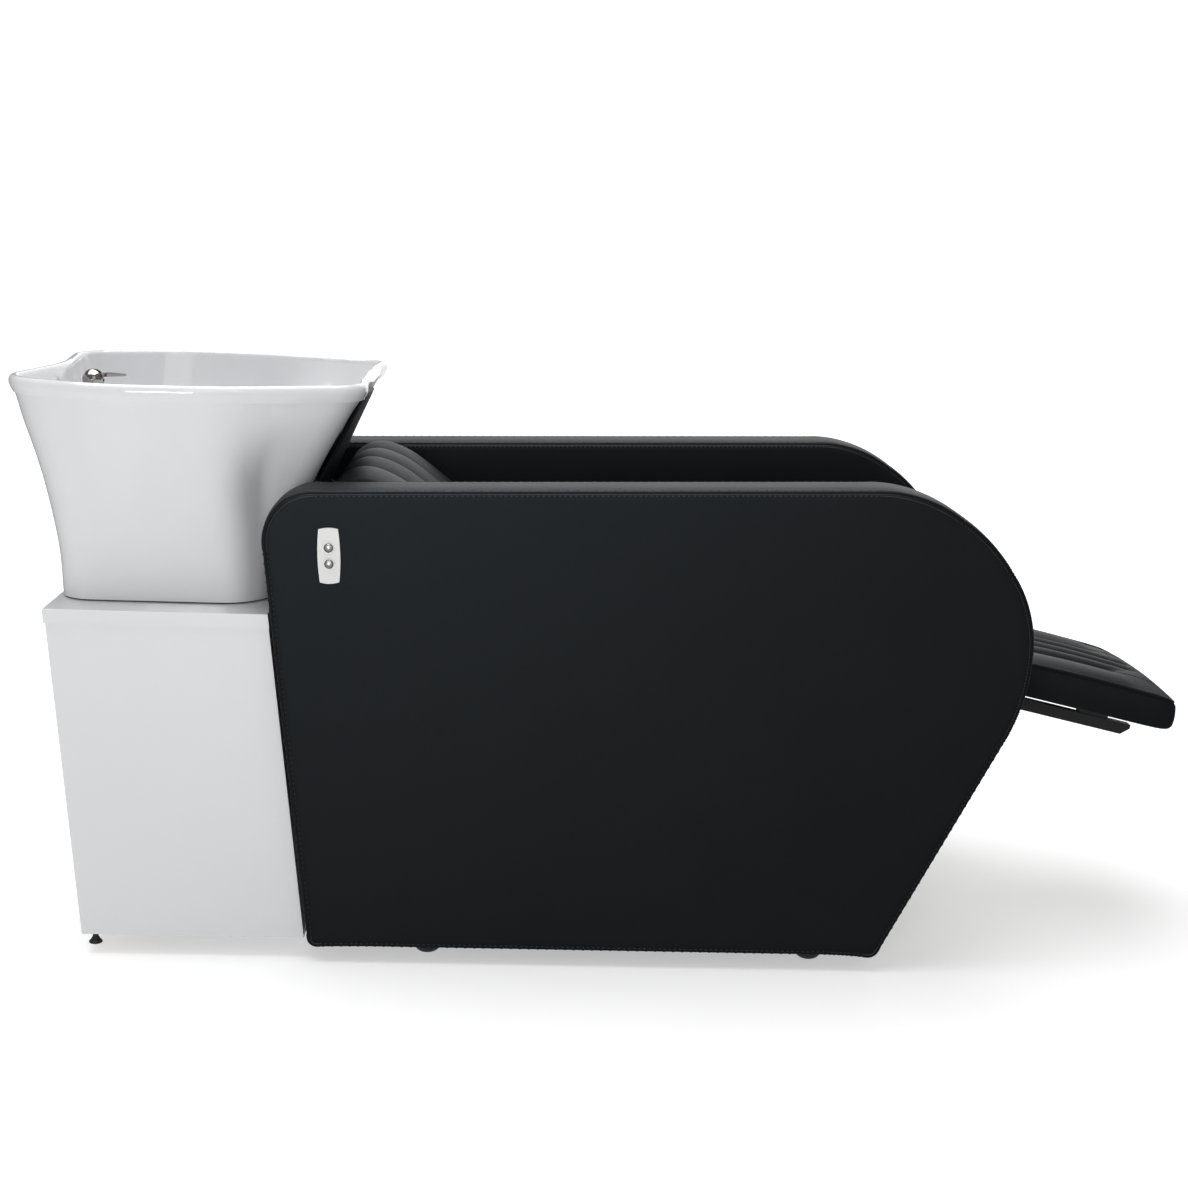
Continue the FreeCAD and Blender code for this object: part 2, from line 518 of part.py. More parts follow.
SEAT_Z = BOARD_Z1 + 0.3
seat_sections = []
for sx, lean, eh, cr in ((-44, 0.0, 34, 5), (30, 0.0, 43, 10), (250, 0.0, 44, 11), (480, 0.0, 42, 10),
                         (528, 0.12, 36, 8), (544, 0.2, 24, 4)):
    seat_sections.append(channel_section(station(sx, SEAT_Z, lean, 1.0), SEAT_HALF, eh, cr, 4))
export("seat_cushion", Part.makeLoft(seat_sections, True, True))

# backrest

BACK_D = (0.748, -0.664)
BACK_N = (0.664, 0.748)
BACK_P = (-304.3, 573.5)


def back_at(t, n):
    return (BACK_P[0] + BACK_D[0] * t + BACK_N[0] * n, BACK_P[1] + BACK_D[1] * t + BACK_N[1] * n)


export("back_board", prism([back_at(-60, -0.3), back_at(246, -0.3), back_at(246, -12.3), back_at(-60, -12.3)],
                           -208, 208))
back_sections = []
for t, n0, deg, eh, cr in ((258, 0.2, 10, 34, 5), (236, 0.2, 4, 58, 9), (120, 0.2, 0, 66, 10), (-20, 0.2, 0, 65, 10),
                           (-66, 0.4, -14, 64, 10), (-76, 1.5, -45, 59, 9), (-82, 1.0, -78, 48, 7),
                           (-84, -4.0, -104, 40, 4)):
    px, pz = back_at(t, n0)
    a = math.atan2(BACK_N[1], BACK_N[0]) - math.radians(deg)
    back_sections.append(channel_section(station(px, pz, math.cos(a), math.sin(a)), SEAT_HALF, eh, cr, 4))
export("back_cushion", Part.makeLoft(back_sections, True, True))
post = prism([back_at(-45, -12.6), back_at(255, -12.6), back_at(255, -37.6), back_at(-45, -37.6)], -165, -135)
hollow = prism([back_at(-46, -14.6), back_at(256, -14.6), back_at(256, -35.6), back_at(-46, -35.6)], -163, -137)
pair("back_posts", post.cut(hollow))


def neck_x(z):
    return -357.0 - 0.46 * (772.0 - z)


NECK = [(612, 188), (640, 172), (690, 128), (735, 98), (762, 82), (772, 66)]


neck_sections = []
for z, half in NECK:
    front = neck_x(z)
    crown = 1.5
    wire = Part.Wire([Part.Arc(V(front - 6, -half, z), V(front + crown, 0, z), V(front - 6, half, z)).toShape(),
                      Part.Arc(V(front - 6, half, z), V(front - 9, half + 2, z), V(front - 12, half - 1, z)).toShape(),
                      Part.makeLine(V(front - 12, half - 1, z), V(front - 12, -half + 1, z)),
                      Part.Arc(V(front - 12, -half + 1, z), V(front - 9, -half - 2, z),
                               V(front - 6, -half, z)).toShape()])
    neck_sections.append(wire)
neck = Part.makeLoft(neck_sections, True, True)
export("neck_panel", neck)
bracket = prism([back_at(-40, -12.8), (neck_x(628) + 1.4, 628), (neck_x(615) + 1.4, 615), back_at(10, -12.8)], -64, -60)
pair("neck_brackets", bracket)

# leg-rest

TILT = math.radians(REST_TILT)


def rest_at(u, w):
    return (PIVOT_X + u * math.cos(TILT) + w * math.sin(TILT), PIVOT_Z - u * math.sin(TILT) + w * math.cos(TILT))


def rest_box(u0, u1, w0, w1, y0, y1):
    return prism([rest_at(u0, w0), rest_at(u1, w0), rest_at(u1, w1), rest_at(u0, w1)], y0, y1)


def rest_station(u, lean):
    px, pz = rest_at(u, PAD_W0)
    nx = math.sin(TILT + math.radians(lean))
    nz = math.cos(TILT + math.radians(lean))
    return station(px, pz, nx, nz)


pad_sections = []
for u, lean, half, eh, cr in ((40, -6, 159, 36, 4), (56, 0, PAD_HALF, 48, 6), (170, 0, PAD_HALF, 50, 6),
                              (280, 0, PAD_HALF, 49, 5), (300, 4, 162, 44, 3), (PAD_FRONT - 3, 6, 158, 30, 2)):
    pad_sections.append(channel_section(rest_station(u, lean), half, eh, cr, 3))
pad = Part.makeLoft(pad_sections, True, True)
pad = pad.cut(rest_box(54.7, 290.3, PAD_W0 - 5, PAD_W0 + 12.3, -148.3, 148.3))
export("legrest_pad", pad)
export("legrest_board", rest_box(55, 290, PAD_W0, PAD_W0 + 12, -148, 148))
bar = rest_box(16.2, 275, -14, 3, -BAR_Y - 9, -BAR_Y + 9)
bar = bar.cut(prism([rest_at(276, -15), rest_at(276, -2), rest_at(262, -15)], -BAR_Y - 20, -BAR_Y + 20))
bar = bar.cut(cyl(16.1, (PIVOT_X, -200, PIVOT_Z), (0, 1, 0), 400))
lug = rest_box(192, 238, 2.0, PAD_W0 - 0.1, -BAR_Y - 7, -BAR_Y + 7)
pair("legrest_bars", bar.fuse(lug))
sleeve = tube(16.0, SHAFT_R + 0.05, (PIVOT_X, -185, PIVOT_Z), (0, 1, 0), 370)
export("legrest_sleeve", sleeve)
export("legrest_shaft", cyl(SHAFT_R, (PIVOT_X, -199, PIVOT_Z), (0, 1, 0), 398))
plate = prism([(472, RAIL_Z0), (500, RAIL_Z0), (548, PIVOT_Z - 12), (548, RAIL_Z1 - 1), (472, RAIL_Z1 - 1)],
              -199.4, -193.4)
pair("pivot_brackets", plate.cut(cyl(SHAFT_R + 0.02, (PIVOT_X, -210, PIVOT_Z), (0, 1, 0), 30)))
CRANK = math.radians(CRANK_ANGLE)
PIN = (PIVOT_X + CRANK_L * math.sin(CRANK), PIVOT_Z - CRANK_L * math.cos(CRANK))
cheeks = []
for y0 in (-17.0, 11.0):
    cheek = cyl(22.0, (PIVOT_X, y0, PIVOT_Z), (0, 1, 0), 6).fuse(cyl(12.0, (PIN[0], y0, PIN[1]), (0, 1, 0), 6))
    nx, nz = math.cos(CRANK), math.sin(CRANK)
    cheek = cheek.fuse(prism([(PIVOT_X - 18 * nx, PIVOT_Z - 18 * nz), (PIVOT_X + 18 * nx, PIVOT_Z + 18 * nz),
                              (PIN[0] + 11 * nx, PIN[1] + 11 * nz), (PIN[0] - 11 * nx, PIN[1] - 11 * nz)],
                             y0, y0 + 6))
    cheek = cheek.cut(cyl(16.1, (PIVOT_X, -40, PIVOT_Z), (0, 1, 0), 80))
    cheeks.append(cheek.cut(cyl(6.1, (PIN[0], -40, PIN[1]), (0, 1, 0), 80)))
export("legrest_crank", Part.makeCompound(cheeks))
export("crank_pin", cyl(6.0, (PIN[0], -18.5, PIN[1]), (0, 1, 0), 37))

# actuator

AXIS_Z = PIVOT_Z - CRANK_L * (1 + math.cos(CRANK)) / 2.0
SLOT_HALF = CRANK_L * (1 - math.cos(CRANK)) / 2.0
eye = box(PIN[0] - 24, PIN[0] + 20, -10, 10, AXIS_Z - 21, AXIS_Z + 21)
eye = eye.makeFillet(6, [e for e in eye.Edges if e.BoundBox.YLength > 15])
eye = eye.cut(box(PIN[0] - 7.6, PIN[0] + 7.6, -20, 20, AXIS_Z - SLOT_HALF - 7.5, AXIS_Z + SLOT_HALF + 7.5))
rod = cyl(10.0, (300, 0, AXIS_Z), (1, 0, 0), PIN[0] - 23 - 300).fuse(eye)
export("actuator_rod", rod)
export("actuator_tube", tube(18.0, 13.0, (215.2, 0, AXIS_Z), (1, 0, 0), 214.8))
export("actuator_gland", tube(12.9, 10.06, (412, 0, AXIS_Z), (1, 0, 0), 24).fuse(
    tube(18.0, 10.06, (430.2, 0, AXIS_Z), (1, 0, 0), 5.8)))
motor = box(166, 215, -28, 28, AXIS_Z - 70, AXIS_Z + 24)
motor = motor.makeFillet(6, motor.Edges)
motor = motor.fuse(cyl(23.0, (200, 0, AXIS_Z - 44), (1, 0, 0), 110))
motor = motor.fuse(box(138, 175, -8.7, 8.7, AXIS_Z - 12, AXIS_Z + 12))
motor = motor.cut(cyl(5.1, (148, -30, AXIS_Z), (0, 1, 0), 60))
export("actuator_motor", motor)
clevis = box(122, 152, -15, 15, AXIS_Z - 14, 344.8).cut(box(110, 160, -9, 9, AXIS_Z - 20, 334))
clevis = clevis.cut(cyl(5.1, (148, -30, AXIS_Z), (0, 1, 0), 60))
clevis = clevis.cut(box(153 - 12, 160, -20, 20, AXIS_Z + 14, 350)).fuse(box(122, 140, -15, 15, 334, 344.8))
export("actuator_clevis", clevis)
export("clevis_pin", cyl(5.0, (148, -18, AXIS_Z), (0, 1, 0), 36))
case = box(-40, 70, -55, 55, 336, 379.8)
export("control_box", case.makeFillet(4, [e for e in case.Edges if e.BoundBox.ZLength > 10]))
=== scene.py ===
"""Looks of a salon backwash unit: upholstery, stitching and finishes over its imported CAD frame."""

import json
import math

import bpy
import numpy as np
from mathutils import Matrix


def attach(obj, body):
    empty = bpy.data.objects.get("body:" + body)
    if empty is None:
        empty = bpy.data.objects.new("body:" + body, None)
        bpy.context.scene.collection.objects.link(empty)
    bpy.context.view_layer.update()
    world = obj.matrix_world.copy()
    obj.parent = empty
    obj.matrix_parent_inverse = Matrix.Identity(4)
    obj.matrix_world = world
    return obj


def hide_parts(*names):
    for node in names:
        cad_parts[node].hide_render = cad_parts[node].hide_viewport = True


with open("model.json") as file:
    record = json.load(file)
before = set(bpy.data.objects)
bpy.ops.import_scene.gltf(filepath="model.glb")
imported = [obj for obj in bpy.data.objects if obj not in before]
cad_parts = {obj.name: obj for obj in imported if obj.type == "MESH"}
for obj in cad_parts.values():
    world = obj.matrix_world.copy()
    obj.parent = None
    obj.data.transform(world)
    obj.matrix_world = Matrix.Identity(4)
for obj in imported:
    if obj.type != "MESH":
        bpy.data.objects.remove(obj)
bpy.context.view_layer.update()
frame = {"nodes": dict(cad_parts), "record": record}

bl_info = {
    "name": "Backwash unit",
    "version": (1, 0, 0),
    "blender": (4, 5, 0),
    "location": "3D View > Sidebar > Backwash",
    "description": "Upholstery and finishes of a hairdressing sink with a seat",
    "category": "Object",
}

# Sizes are in metres, in the frame that the CAD model is packed in.

# Corners of an arm's side: X, Z, and the distance from the corner to each end of its arc.
ARM_CORNERS = [
    (-0.4144, 0.0205, 0.013),
    (-0.340, 0.0225, 0.030),
    (0.335, 0.0225, 0.020),
    (0.3858, 0.0185, 0.011),
    (0.578, 0.400, 0.068),
    (0.578, 0.527, 0.058),
    (0.513, 0.6225, 0.047),
    (0.4347, 0.6744, 0.035),
    (0.375, 0.6892, 0.025),
    (-0.4188, 0.6663, 0.008),
    (-0.4527, 0.6566, 0.024),
    (-0.4806, 0.6132, 0.026),
]
ARM_OUT = 0.320
ARM_IN = 0.220
ARM_EDGE = 0.011
ARM_SLACK = 0.0015
ARM_LOOP = 640
ARC_POINTS = 13
# Round the edge from side panel to strip: angle in degrees, and how deep the seam pulls in there.
ARM_TURNS = (0, 20, 36, 42, 45, 48, 54, 70, 90)
ARM_DIPS = (0, 0, -0.0006, 0.0006, 0.0024, 0.0006, -0.0006, 0, 0)
ARM_STITCH_TURN = 20
ARM_STRIP_CROWN = 0.002
ARM_STRIP_ROWS = 7
# Rings of the side panel, from its middle outwards, as shares of the way to its edge.
ARM_SHEET = (0.04, 0.15, 0.35, 0.55, 0.72, 0.85, 0.93, 0.97, 0.99)

SEAT_HALF = 0.213
SEAT_Z = 0.3955
SEAT_SIDE_POINTS = 6
# Stations of the seat: X, lean in radians, side height and crown.
SEAT_KEYS = [
    (-0.044, 0.0, 0.030, 0.004),
    (-0.036, 0.0, 0.041, 0.007),
    (0.030, 0.0, 0.045, 0.009),
    (0.250, 0.0, 0.046, 0.010),
    (0.480, 0.0, 0.044, 0.009),
    (0.524, 0.10, 0.039, 0.008),
    (0.540, 0.30, 0.030, 0.005),
]

# In X and Z: a point on the back's board, the direction down it and the direction off its face.
BACK_POINT = np.array([-0.3043, 0.5735])
BACK_DOWN = np.array([0.748, -0.664])
BACK_FACE = np.array([0.664, 0.748])
BACK_SIDE_POINTS = 7
# Stations of the back, from its foot over its top: distance down the board, distance off its face, turn in
# degrees, side height and crown.
BACK_KEYS = [
    (0.258, 0.0002, 10, 0.034, 0.005),
    (0.236, 0.0002, 4, 0.058, 0.009),
    (0.120, 0.0002, 0, 0.066, 0.010),
    (-0.020, 0.0002, 0, 0.062, 0.010),
    (-0.066, 0.0004, -14, 0.053, 0.009),
    (-0.076, 0.0015, -45, 0.045, 0.008),
    (-0.082, 0.0010, -78, 0.037, 0.006),
    (-0.084, -0.0040, -104, 0.032, 0.004),
]

# Height and half width of the neck panel, from its foot to its top.
NECK_KEYS = [
    (0.612, 0.184),
    (0.616, 0.187),
    (0.640, 0.172),
    (0.690, 0.128),
    (0.735, 0.098),
    (0.762, 0.082),
    (0.771, 0.066),
    (0.774, 0.050),
]
NECK_TIP = (-0.357, 0.772)
NECK_LEAN = 0.46
NECK_THICK = 0.012
NECK_SIDE = 0.008
NECK_CROWN = 0.006
NECK_ROWS = 60
NECK_COLUMNS = 40
NECK_SIDE_POINTS = 5
NECK_BASE_POINTS = 20

# Pivot of the leg-rest in X and Z, and the tilt of its pad below level.
PIVOT = np.array([0.530, 0.366])
REST_TILT = math.radians(12.5)
# Stations of the leg-rest: distance from the pivot, lean in degrees, half width, side height, crown, and lift
# of the base.
REST_KEYS = [
    (0.040, -6, 0.158, 0.032, 0.003, 0.004),
    (0.046, -3, 0.163, 0.043, 0.006, 0.001),
    (0.062, 0, 0.165, 0.048, 0.008, 0.0),
    (0.170, 0, 0.165, 0.050, 0.009, 0.0),
    (0.270, -1, 0.165, 0.048, 0.008, 0.0),
    (0.296, -3, 0.164, 0.044, 0.006, 0.001),
    (0.306, -5, 0.162, 0.038, 0.005, 0.004),
    (0.311, -7, 0.158, 0.028, 0.003, 0.009),
]
REST_RISE = 0.020
REST_HALF = 0.165
# Seams across the leg-rest as shares of its half width, and how far from the pivot its three channels end, at
# their sides and in their middle.
REST_PANELS = [-1.0, -0.42, -0.14, 0.14, 0.42, 1.0]
REST_ARCH = (0.222, 0.272)
ARCH_ROWS = 0.75
REST_PIPING = 0.0028
REST_COLUMNS = (18, 10, 10, 10, 18)
REST_SIDE_POINTS = 8
REST_BASE_POINTS = 30
# Where the leg-rest's stitches run: rows of its grid, and columns outside the channels' outer seams.
REST_STITCH_ROWS = slice(2, -4)
REST_STITCH_COLUMNS = 2
# Row that the piping follows across the leg-rest's front, counted from the end of the grid.
PIPING_ROW = 3
PIPING_POINTS = 220
PIPING_SIDES = 10
PIPING_SMOOTHING = 6

TUCK = 0.005
PAD_ROWS = 84
PAD_PANELS = 4
PAD_COLUMNS = 14
PAD_BASE = 26
SEWN_BLEND_ROWS = 9.0
# How flat a panel's parabola is, and its share in the rise; the whole width's crown has the rest.
PUFF_POWER = 0.8
PUFF_SHARE = 0.75
# Stations are spaced along a line at this share of their side height, from so many samples for each key.
STATION_HEIGHT = 0.6
STATION_SAMPLES = 40
CLOTH_FRAMES = 20
END_SHARES = (0.86, 0.6, 0.25)
END_ROWS = len(END_SHARES)
SEAM_CREASE = 0.75

# One stitch: places of its rings as shares of the pitch, and their radii as shares of the thread's.
STITCH_REACH = (-0.38, -0.19, 0.0, 0.19, 0.38)
STITCH_GIRTH = (0.25, 0.85, 1.0, 0.85, 0.25)
STITCH_SIDES = 6
THREAD_RADIUS = 0.0007
THREAD_LIFT = 0.0003

CAMERA_AT = (-0.1367, -2.8113, 1.0423)
CAMERA_LENS = 57.05
CAMERA_SENSOR = 36.0
# Yaw, pitch below level and roll of the camera.
CAMERA_TURN = tuple(math.radians(a) for a in (2.4443, 11.4469, -1.9749))

# Square lamps: name, place, side in metres and power in watts, all aimed at the same point.
LAMPS = (
    ("key", (-0.6, 0.2, 3.4), 3.4, 142.0),
    ("side", (-0.8, -3.4, 0.70), 0.9, 27.0),
    ("fill", (0.4, -3.2, 2.4), 2.0, 14.0),
    ("rim", (0.9, 5.0, 1.9), 4.4, 60.0),
)
LAMP_AIM = (0.0, 0.0, 0.5)
WORLD_STRENGTH = 0.22
FLOOR_SIZE = 30.0
# How much whiter the floor gets with each metre from the origin.
FLOOR_FADE = 0.22
BACKDROP_RADIUS = 12.0
BACKDROP_STRENGTH = 1.05


class BackwashProperties(bpy.types.PropertyGroup):
    """Sizes and colours that a user would change."""

    upholstery: bpy.props.FloatVectorProperty(
        name="Upholstery",
        description="Colour of the leatherette",
        subtype="COLOR",
        size=4,
        min=0.0,
        max=1.0,
        default=(0.0037, 0.0041, 0.0049, 1.0),
    )
    glaze: bpy.props.FloatVectorProperty(
        name="Glaze",
        description="Colour of the ceramic bowl",
        subtype="COLOR",
        size=4,
        min=0.0,
        max=1.0,
        default=(0.64, 0.645, 0.66, 1.0),
    )
    lacquer: bpy.props.FloatVectorProperty(
        name="Lacquer",
        description="Colour of the cabinet",
        subtype="COLOR",
        size=4,
        min=0.0,
        max=1.0,
        default=(0.62, 0.625, 0.635, 1.0),
    )
    grain: bpy.props.FloatProperty(
        name="Grain",
        description="Width of one pebble of the leatherette's grain",
        unit="LENGTH",
        min=0.0004,
        default=0.0013,
    )
    stitch: bpy.props.FloatProperty(
        name="Stitch",
        description="Length of one stitch with the gap after it",
        unit="LENGTH",
        min=0.002,
        default=0.0046,
    )
    pressure: bpy.props.FloatProperty(
        name="Pressure",
        description="Pressure that swells the cushion covers",
        min=0.0,
        default=4.0,
    )
    swell: bpy.props.FloatProperty(
        name="Swell",
        description="How far a cover may swell",
        unit="LENGTH",
        min=0.0,
        default=0.009,
    )


class Wire:
    """One output in a material's node tree, with arithmetic that adds Math nodes."""

    def __init__(self, tree, socket):
        self.tree = tree
        self.socket = socket

    def node(self, kind, inputs, output=0, **options):
        """Adds a node with its options, feeds its inputs by wires or constants, and returns one output."""
        made = self.tree.nodes.new(kind)
        for option, value in options.items():
            setattr(made, option, value)
        for key, value in inputs.items():
            if isinstance(value, Wire):
                self.tree.links.new(value.socket, made.inputs[key])
            else:
                made.inputs[key].default_value = value
        return Wire(self.tree, made.outputs[output])

    def __add__(self, other):
        return self.node("ShaderNodeMath", {0: self, 1: other}, operation="ADD")

    def __sub__(self, other):
        return self.node("ShaderNodeMath", {0: self, 1: other}, operation="SUBTRACT")

    def __rsub__(self, other):
        return self.node("ShaderNodeMath", {0: other, 1: self}, operation="SUBTRACT")

    def __mul__(self, other):
        return self.node("ShaderNodeMath", {0: self, 1: other}, operation="MULTIPLY")

    def __pow__(self, other):
        return self.node("ShaderNodeMath", {0: self, 1: other}, operation="POWER")

    __radd__ = __add__
    __rmul__ = __mul__


def noise(where, scale, detail=3.0, rough=0.5):
    """Cloudy value from 0 to 1 with features of about one over scale, in metres."""
    inputs = {"Vector": where, "Scale": scale, "Detail": detail, "Roughness": rough}
    return where.node("ShaderNodeTexNoise", inputs)


def bands(where, scale, distortion, direction):
    """Soft stripes from 0 to 1 across a direction, bent by the distortion."""
    inputs = {"Vector": where, "Scale": scale, "Distortion": distortion}
    return where.node("ShaderNodeTexWave", inputs, bands_direction=direction)


def stretched(where, x, y, z):
    """The same coordinates drawn out along each axis by its own factor."""
    return where.node("ShaderNodeMapping", {"Vector": where, "Scale": (x, y, z)})


def tint(share, low, high):
    """Colour between low and high by a share from 0 to 1."""
    return share.node("ShaderNodeMix", {0: share, 6: low, 7: high}, output=2, data_type="RGBA")


def bump(height, depth, strength=1.0):
    """Normal of a surface raised by height times depth, in metres."""
    return height.node("ShaderNodeBump", {"Height": height, "Distance": depth, "Strength": strength})


def shade(colour, factor):
    """A colour made lighter or darker."""
    return (*[min(1.0, c * factor) for c in colour[:3]], 1.0)


def material(name, paint, **constants):
    """A Principled material: constants on its sockets, and what paint makes from the object's coordinates."""
    made = bpy.data.materials.new(name)
    made.use_nodes = True
    tree = made.node_tree
    shader = tree.nodes["Principled BSDF"]
    for socket, value in constants.items():
        shader.inputs[socket.replace("_", " ")].default_value = value
    where = Wire(tree, tree.nodes.new("ShaderNodeTexCoord").outputs["Object"])
    for socket, wire in paint(where).items():
        tree.links.new(wire.socket, shader.inputs[socket])
    return made


def leatherette(look):
    """Upholstery vinyl: rounded pebbles with creases between them, and a sheen that wanders."""

    def paint(where):
        edge = where.node(
            "ShaderNodeTexVoronoi",
            {"Vector": where, "Scale": 1.0 / look.grain},
            feature="DISTANCE_TO_EDGE",
        )
        cloud = noise(where, 7.0, 4.0)
        height = (edge * 1.6) ** 0.5 + noise(where, 60.0, 2.0) * 0.8
        return {
            "Base Color": tint(cloud, shade(look.upholstery, 0.8), shade(look.upholstery, 1.25)),
            "Roughness": 0.42 + cloud * 0.12,
            "Normal": bump(height, 0.00022, 0.55),
        }

    return material("leatherette", paint, Specular_IOR_Level=0.23, Specular_Tint=(0.80, 0.92, 1.0, 1.0))


def thread(look):
    """Sewing thread with diagonal ply bands in its bump; its colour is a little greyer than the cover and
    banded the same way, as painted sheen on black thread.
    """

    def paint(where):
        twist_and_sheen = bands(where, 900.0, 2.0, "DIAGONAL")
        return {
            # Painted sheen: the two greys, lighter than the black cover, stand in for light glinting along
            # the thread's plies.
            "Base Color": tint(twist_and_sheen, shade(look.upholstery, 2.0), shade(look.upholstery, 7.0)),
            "Normal": bump(twist_and_sheen, 0.0001, 0.4),
        }

    return material("thread", paint, Roughness=0.5)


def glaze(look):
    """Vitreous china: a deep gloss coat with a faint ripple and a few dull patches."""

    def paint(where):
        ripple = noise(where, 16.0, 2.0)
        speck = noise(where, 420.0, 2.0)
        return {
            "Base Color": tint(ripple, shade(look.glaze, 0.97), look.glaze),
            "Roughness": 0.07 + speck * 0.06,
            "Normal": bump(ripple + speck * 0.04, 0.0012, 0.25),
        }

    return material("glaze", paint, Coat_Weight=0.5, Coat_Roughness=0.04)


def lacquer(look):
    """Sprayed cabinet lacquer with an orange-peel texture."""

    def paint(where):
        peel = noise(where, 320.0, 2.0)
        cloud = noise(where, 3.0, 3.0)
        return {
            "Base Color": tint(cloud, shade(look.lacquer, 0.96), look.lacquer),
            "Roughness": 0.26 + cloud * 0.1,
            "Normal": bump(peel, 0.00012, 0.35),
        }

    return material("lacquer", paint, Coat_Weight=0.2)


def plywood(look):
    """Birch plywood: grain drawn out along the board and thin layers of darker glue."""

    def paint(where):
        grain = noise(stretched(where, 6.0, 90.0, 90.0), 1.0, 6.0, 0.65)
        layer = bands(where, 70.0, 0.6, "Z")
        mixed = grain * 0.75 + layer * 0.25
        return {
            "Base Color": tint(mixed, (0.30, 0.17, 0.075, 1.0), (0.62, 0.44, 0.26, 1.0)),
            "Roughness": 0.75 - grain * 0.2,
            "Normal": bump(grain, 0.0004, 0.4),
        }

    return material("plywood", paint)


def powder_coat(look):
    """Black powder-coated steel with a fine sandy texture."""

    def paint(where):
        sand = noise(where, 1100.0, 2.0)
        cloud = noise(where, 11.0, 3.0)
        return {
            "Base Color": tint(cloud, (0.006, 0.006, 0.007, 1.0), (0.016, 0.016, 0.018, 1.0)),
            "Roughness": 0.38 + cloud * 0.16,
            "Normal": bump(sand, 0.0002, 0.5),
        }

    return material("powder coat", paint)


def zinc(look):
    """Zinc-plated steel with brushed streaks and a yellowish bloom."""

    def paint(where):
        streak = noise(stretched(where, 8.0, 400.0, 400.0), 1.0, 3.0)
        bloom = noise(where, 30.0, 3.0)
        return {
            "Base Color": tint(bloom, (0.50, 0.51, 0.52, 1.0), (0.66, 0.65, 0.60, 1.0)),
            "Roughness": 0.26 + streak * 0.2,
            "Normal": bump(streak, 0.0001, 0.3),
        }

    return material("zinc plate", paint, Metallic=1.0)


def chrome(look):
    """Chrome plate with water marks, its colour darkened and warmed as a painted reflection of dark
    surroundings.
    """

    def paint(where):
        mark = noise(where, 45.0, 5.0, 0.6)
        return {
            # Painted reflection: both colours are darker and warmer than bright chrome; the spread between
            # them is the water marks.
            "Base Color": tint(mark, (0.32, 0.305, 0.285, 1.0), (0.46, 0.44, 0.42, 1.0)),
            "Roughness": 0.04 + mark * 0.1,
        }

    return material("chrome plate", paint, Metallic=1.0)


def moulded(name, low, high, rough, metal=0.0):
    """Makes a material of moulded plastic with a spark-eroded texture between two colours."""

    def make(look):
        def paint(where):
            grain = noise(where, 1500.0, 2.0)
            cloud = noise(where, 25.0, 3.0)
            return {
                "Base Color": tint(cloud, low, high),
                "Roughness": rough + cloud * 0.1,
                "Normal": bump(grain, 0.00008, 0.4),
            }

        return material(name, paint, Metallic=metal)

    return make


FINISHES = {
    "black_leatherette": leatherette,
    "white_glaze": glaze,
    "white_lacquer": lacquer,
    "plywood": plywood,
    "black_steel": powder_coat,
    "zinc_steel": zinc,
    "chrome": chrome,
    "black_plastic": moulded("black plastic", (0.010, 0.010, 0.011, 1.0), (0.020, 0.020, 0.022, 1.0), 0.22),
    "white_plastic": moulded("white plastic", (0.72, 0.72, 0.70, 1.0), (0.80, 0.80, 0.79, 1.0), 0.30),
    "silver_plastic": moulded("silver plastic", (0.54, 0.54, 0.53, 1.0), (0.60, 0.60, 0.59, 1.0), 0.34, 0.15),
    "satin_metal": moulded("satin metal", (0.52, 0.52, 0.53, 1.0), (0.64, 0.64, 0.65, 1.0), 0.30, 0.9),
    "rubber": moulded("rubber", (0.012, 0.012, 0.012, 1.0), (0.028, 0.027, 0.026, 1.0), 0.70),
    "thread": thread,
}
BUTTONS = ("button_up", "button_down")
BUTTON_SIDES = 40
# Radius and depth of a button's outline, as shares of its half width and its length.
BUTTON_PROFILE = [
    (0.05, 0.0),
    (0.30, 0.010),
    (0.55, 0.040),
    (0.72, 0.080),
    (0.83, 0.130),
    (0.89, 0.190),
    (0.91, 0.260),
    (0.91, 0.700),
    (0.88, 0.740),
    (0.33, 0.745),
    (0.33, 1.0),
]
_made = {}


def finish(slot):
    """The material of a slot, made once from the scene's properties."""
    if slot not in _made:
        _made[slot] = FINISHES[slot](bpy.context.scene.backwash)
    return _made[slot]


def unit(vectors):
    """Vectors scaled to length one."""
    return vectors / np.linalg.norm(vectors, axis=-1, keepdims=True)


def evenly(path, count, closed):
    """Points spaced evenly along a polyline."""
    path = np.vstack([path, path[:1]]) if closed else path
    run = np.concatenate([[0.0], np.cumsum(np.linalg.norm(np.diff(path, axis=0), axis=1))])
    at = np.linspace(0.0, run[-1], count, endpoint=not closed)
    return np.stack([np.interp(at, run, column) for column in path.T], -1)


def rounded_loop(corners, count):
    """Polygon with round corners: each arc is a conic whose weight is the sine of half its corner's angle."""
    corners = np.array(corners)
    points, tangent = corners[:, :2], corners[:, 2:]
    before = unit(np.roll(points, 1, 0) - points)
    after = unit(np.roll(points, -1, 0) - points)
    weight = np.sqrt((1.0 - np.sum(before * after, 1)) / 2.0)[:, None, None]
    s = np.linspace(0.0, 1.0, ARC_POINTS)[None, :, None]
    b0, b1, b2 = (1 - s) ** 2, 2 * s * (1 - s) * weight, s**2
    start, end = points + before * tangent, points + after * tangent
    arcs = (b0 * start[:, None] + b1 * points[:, None] + b2 * end[:, None]) / (b0 + b1 + b2)
    return evenly(arcs.reshape(-1, 2), count, True)


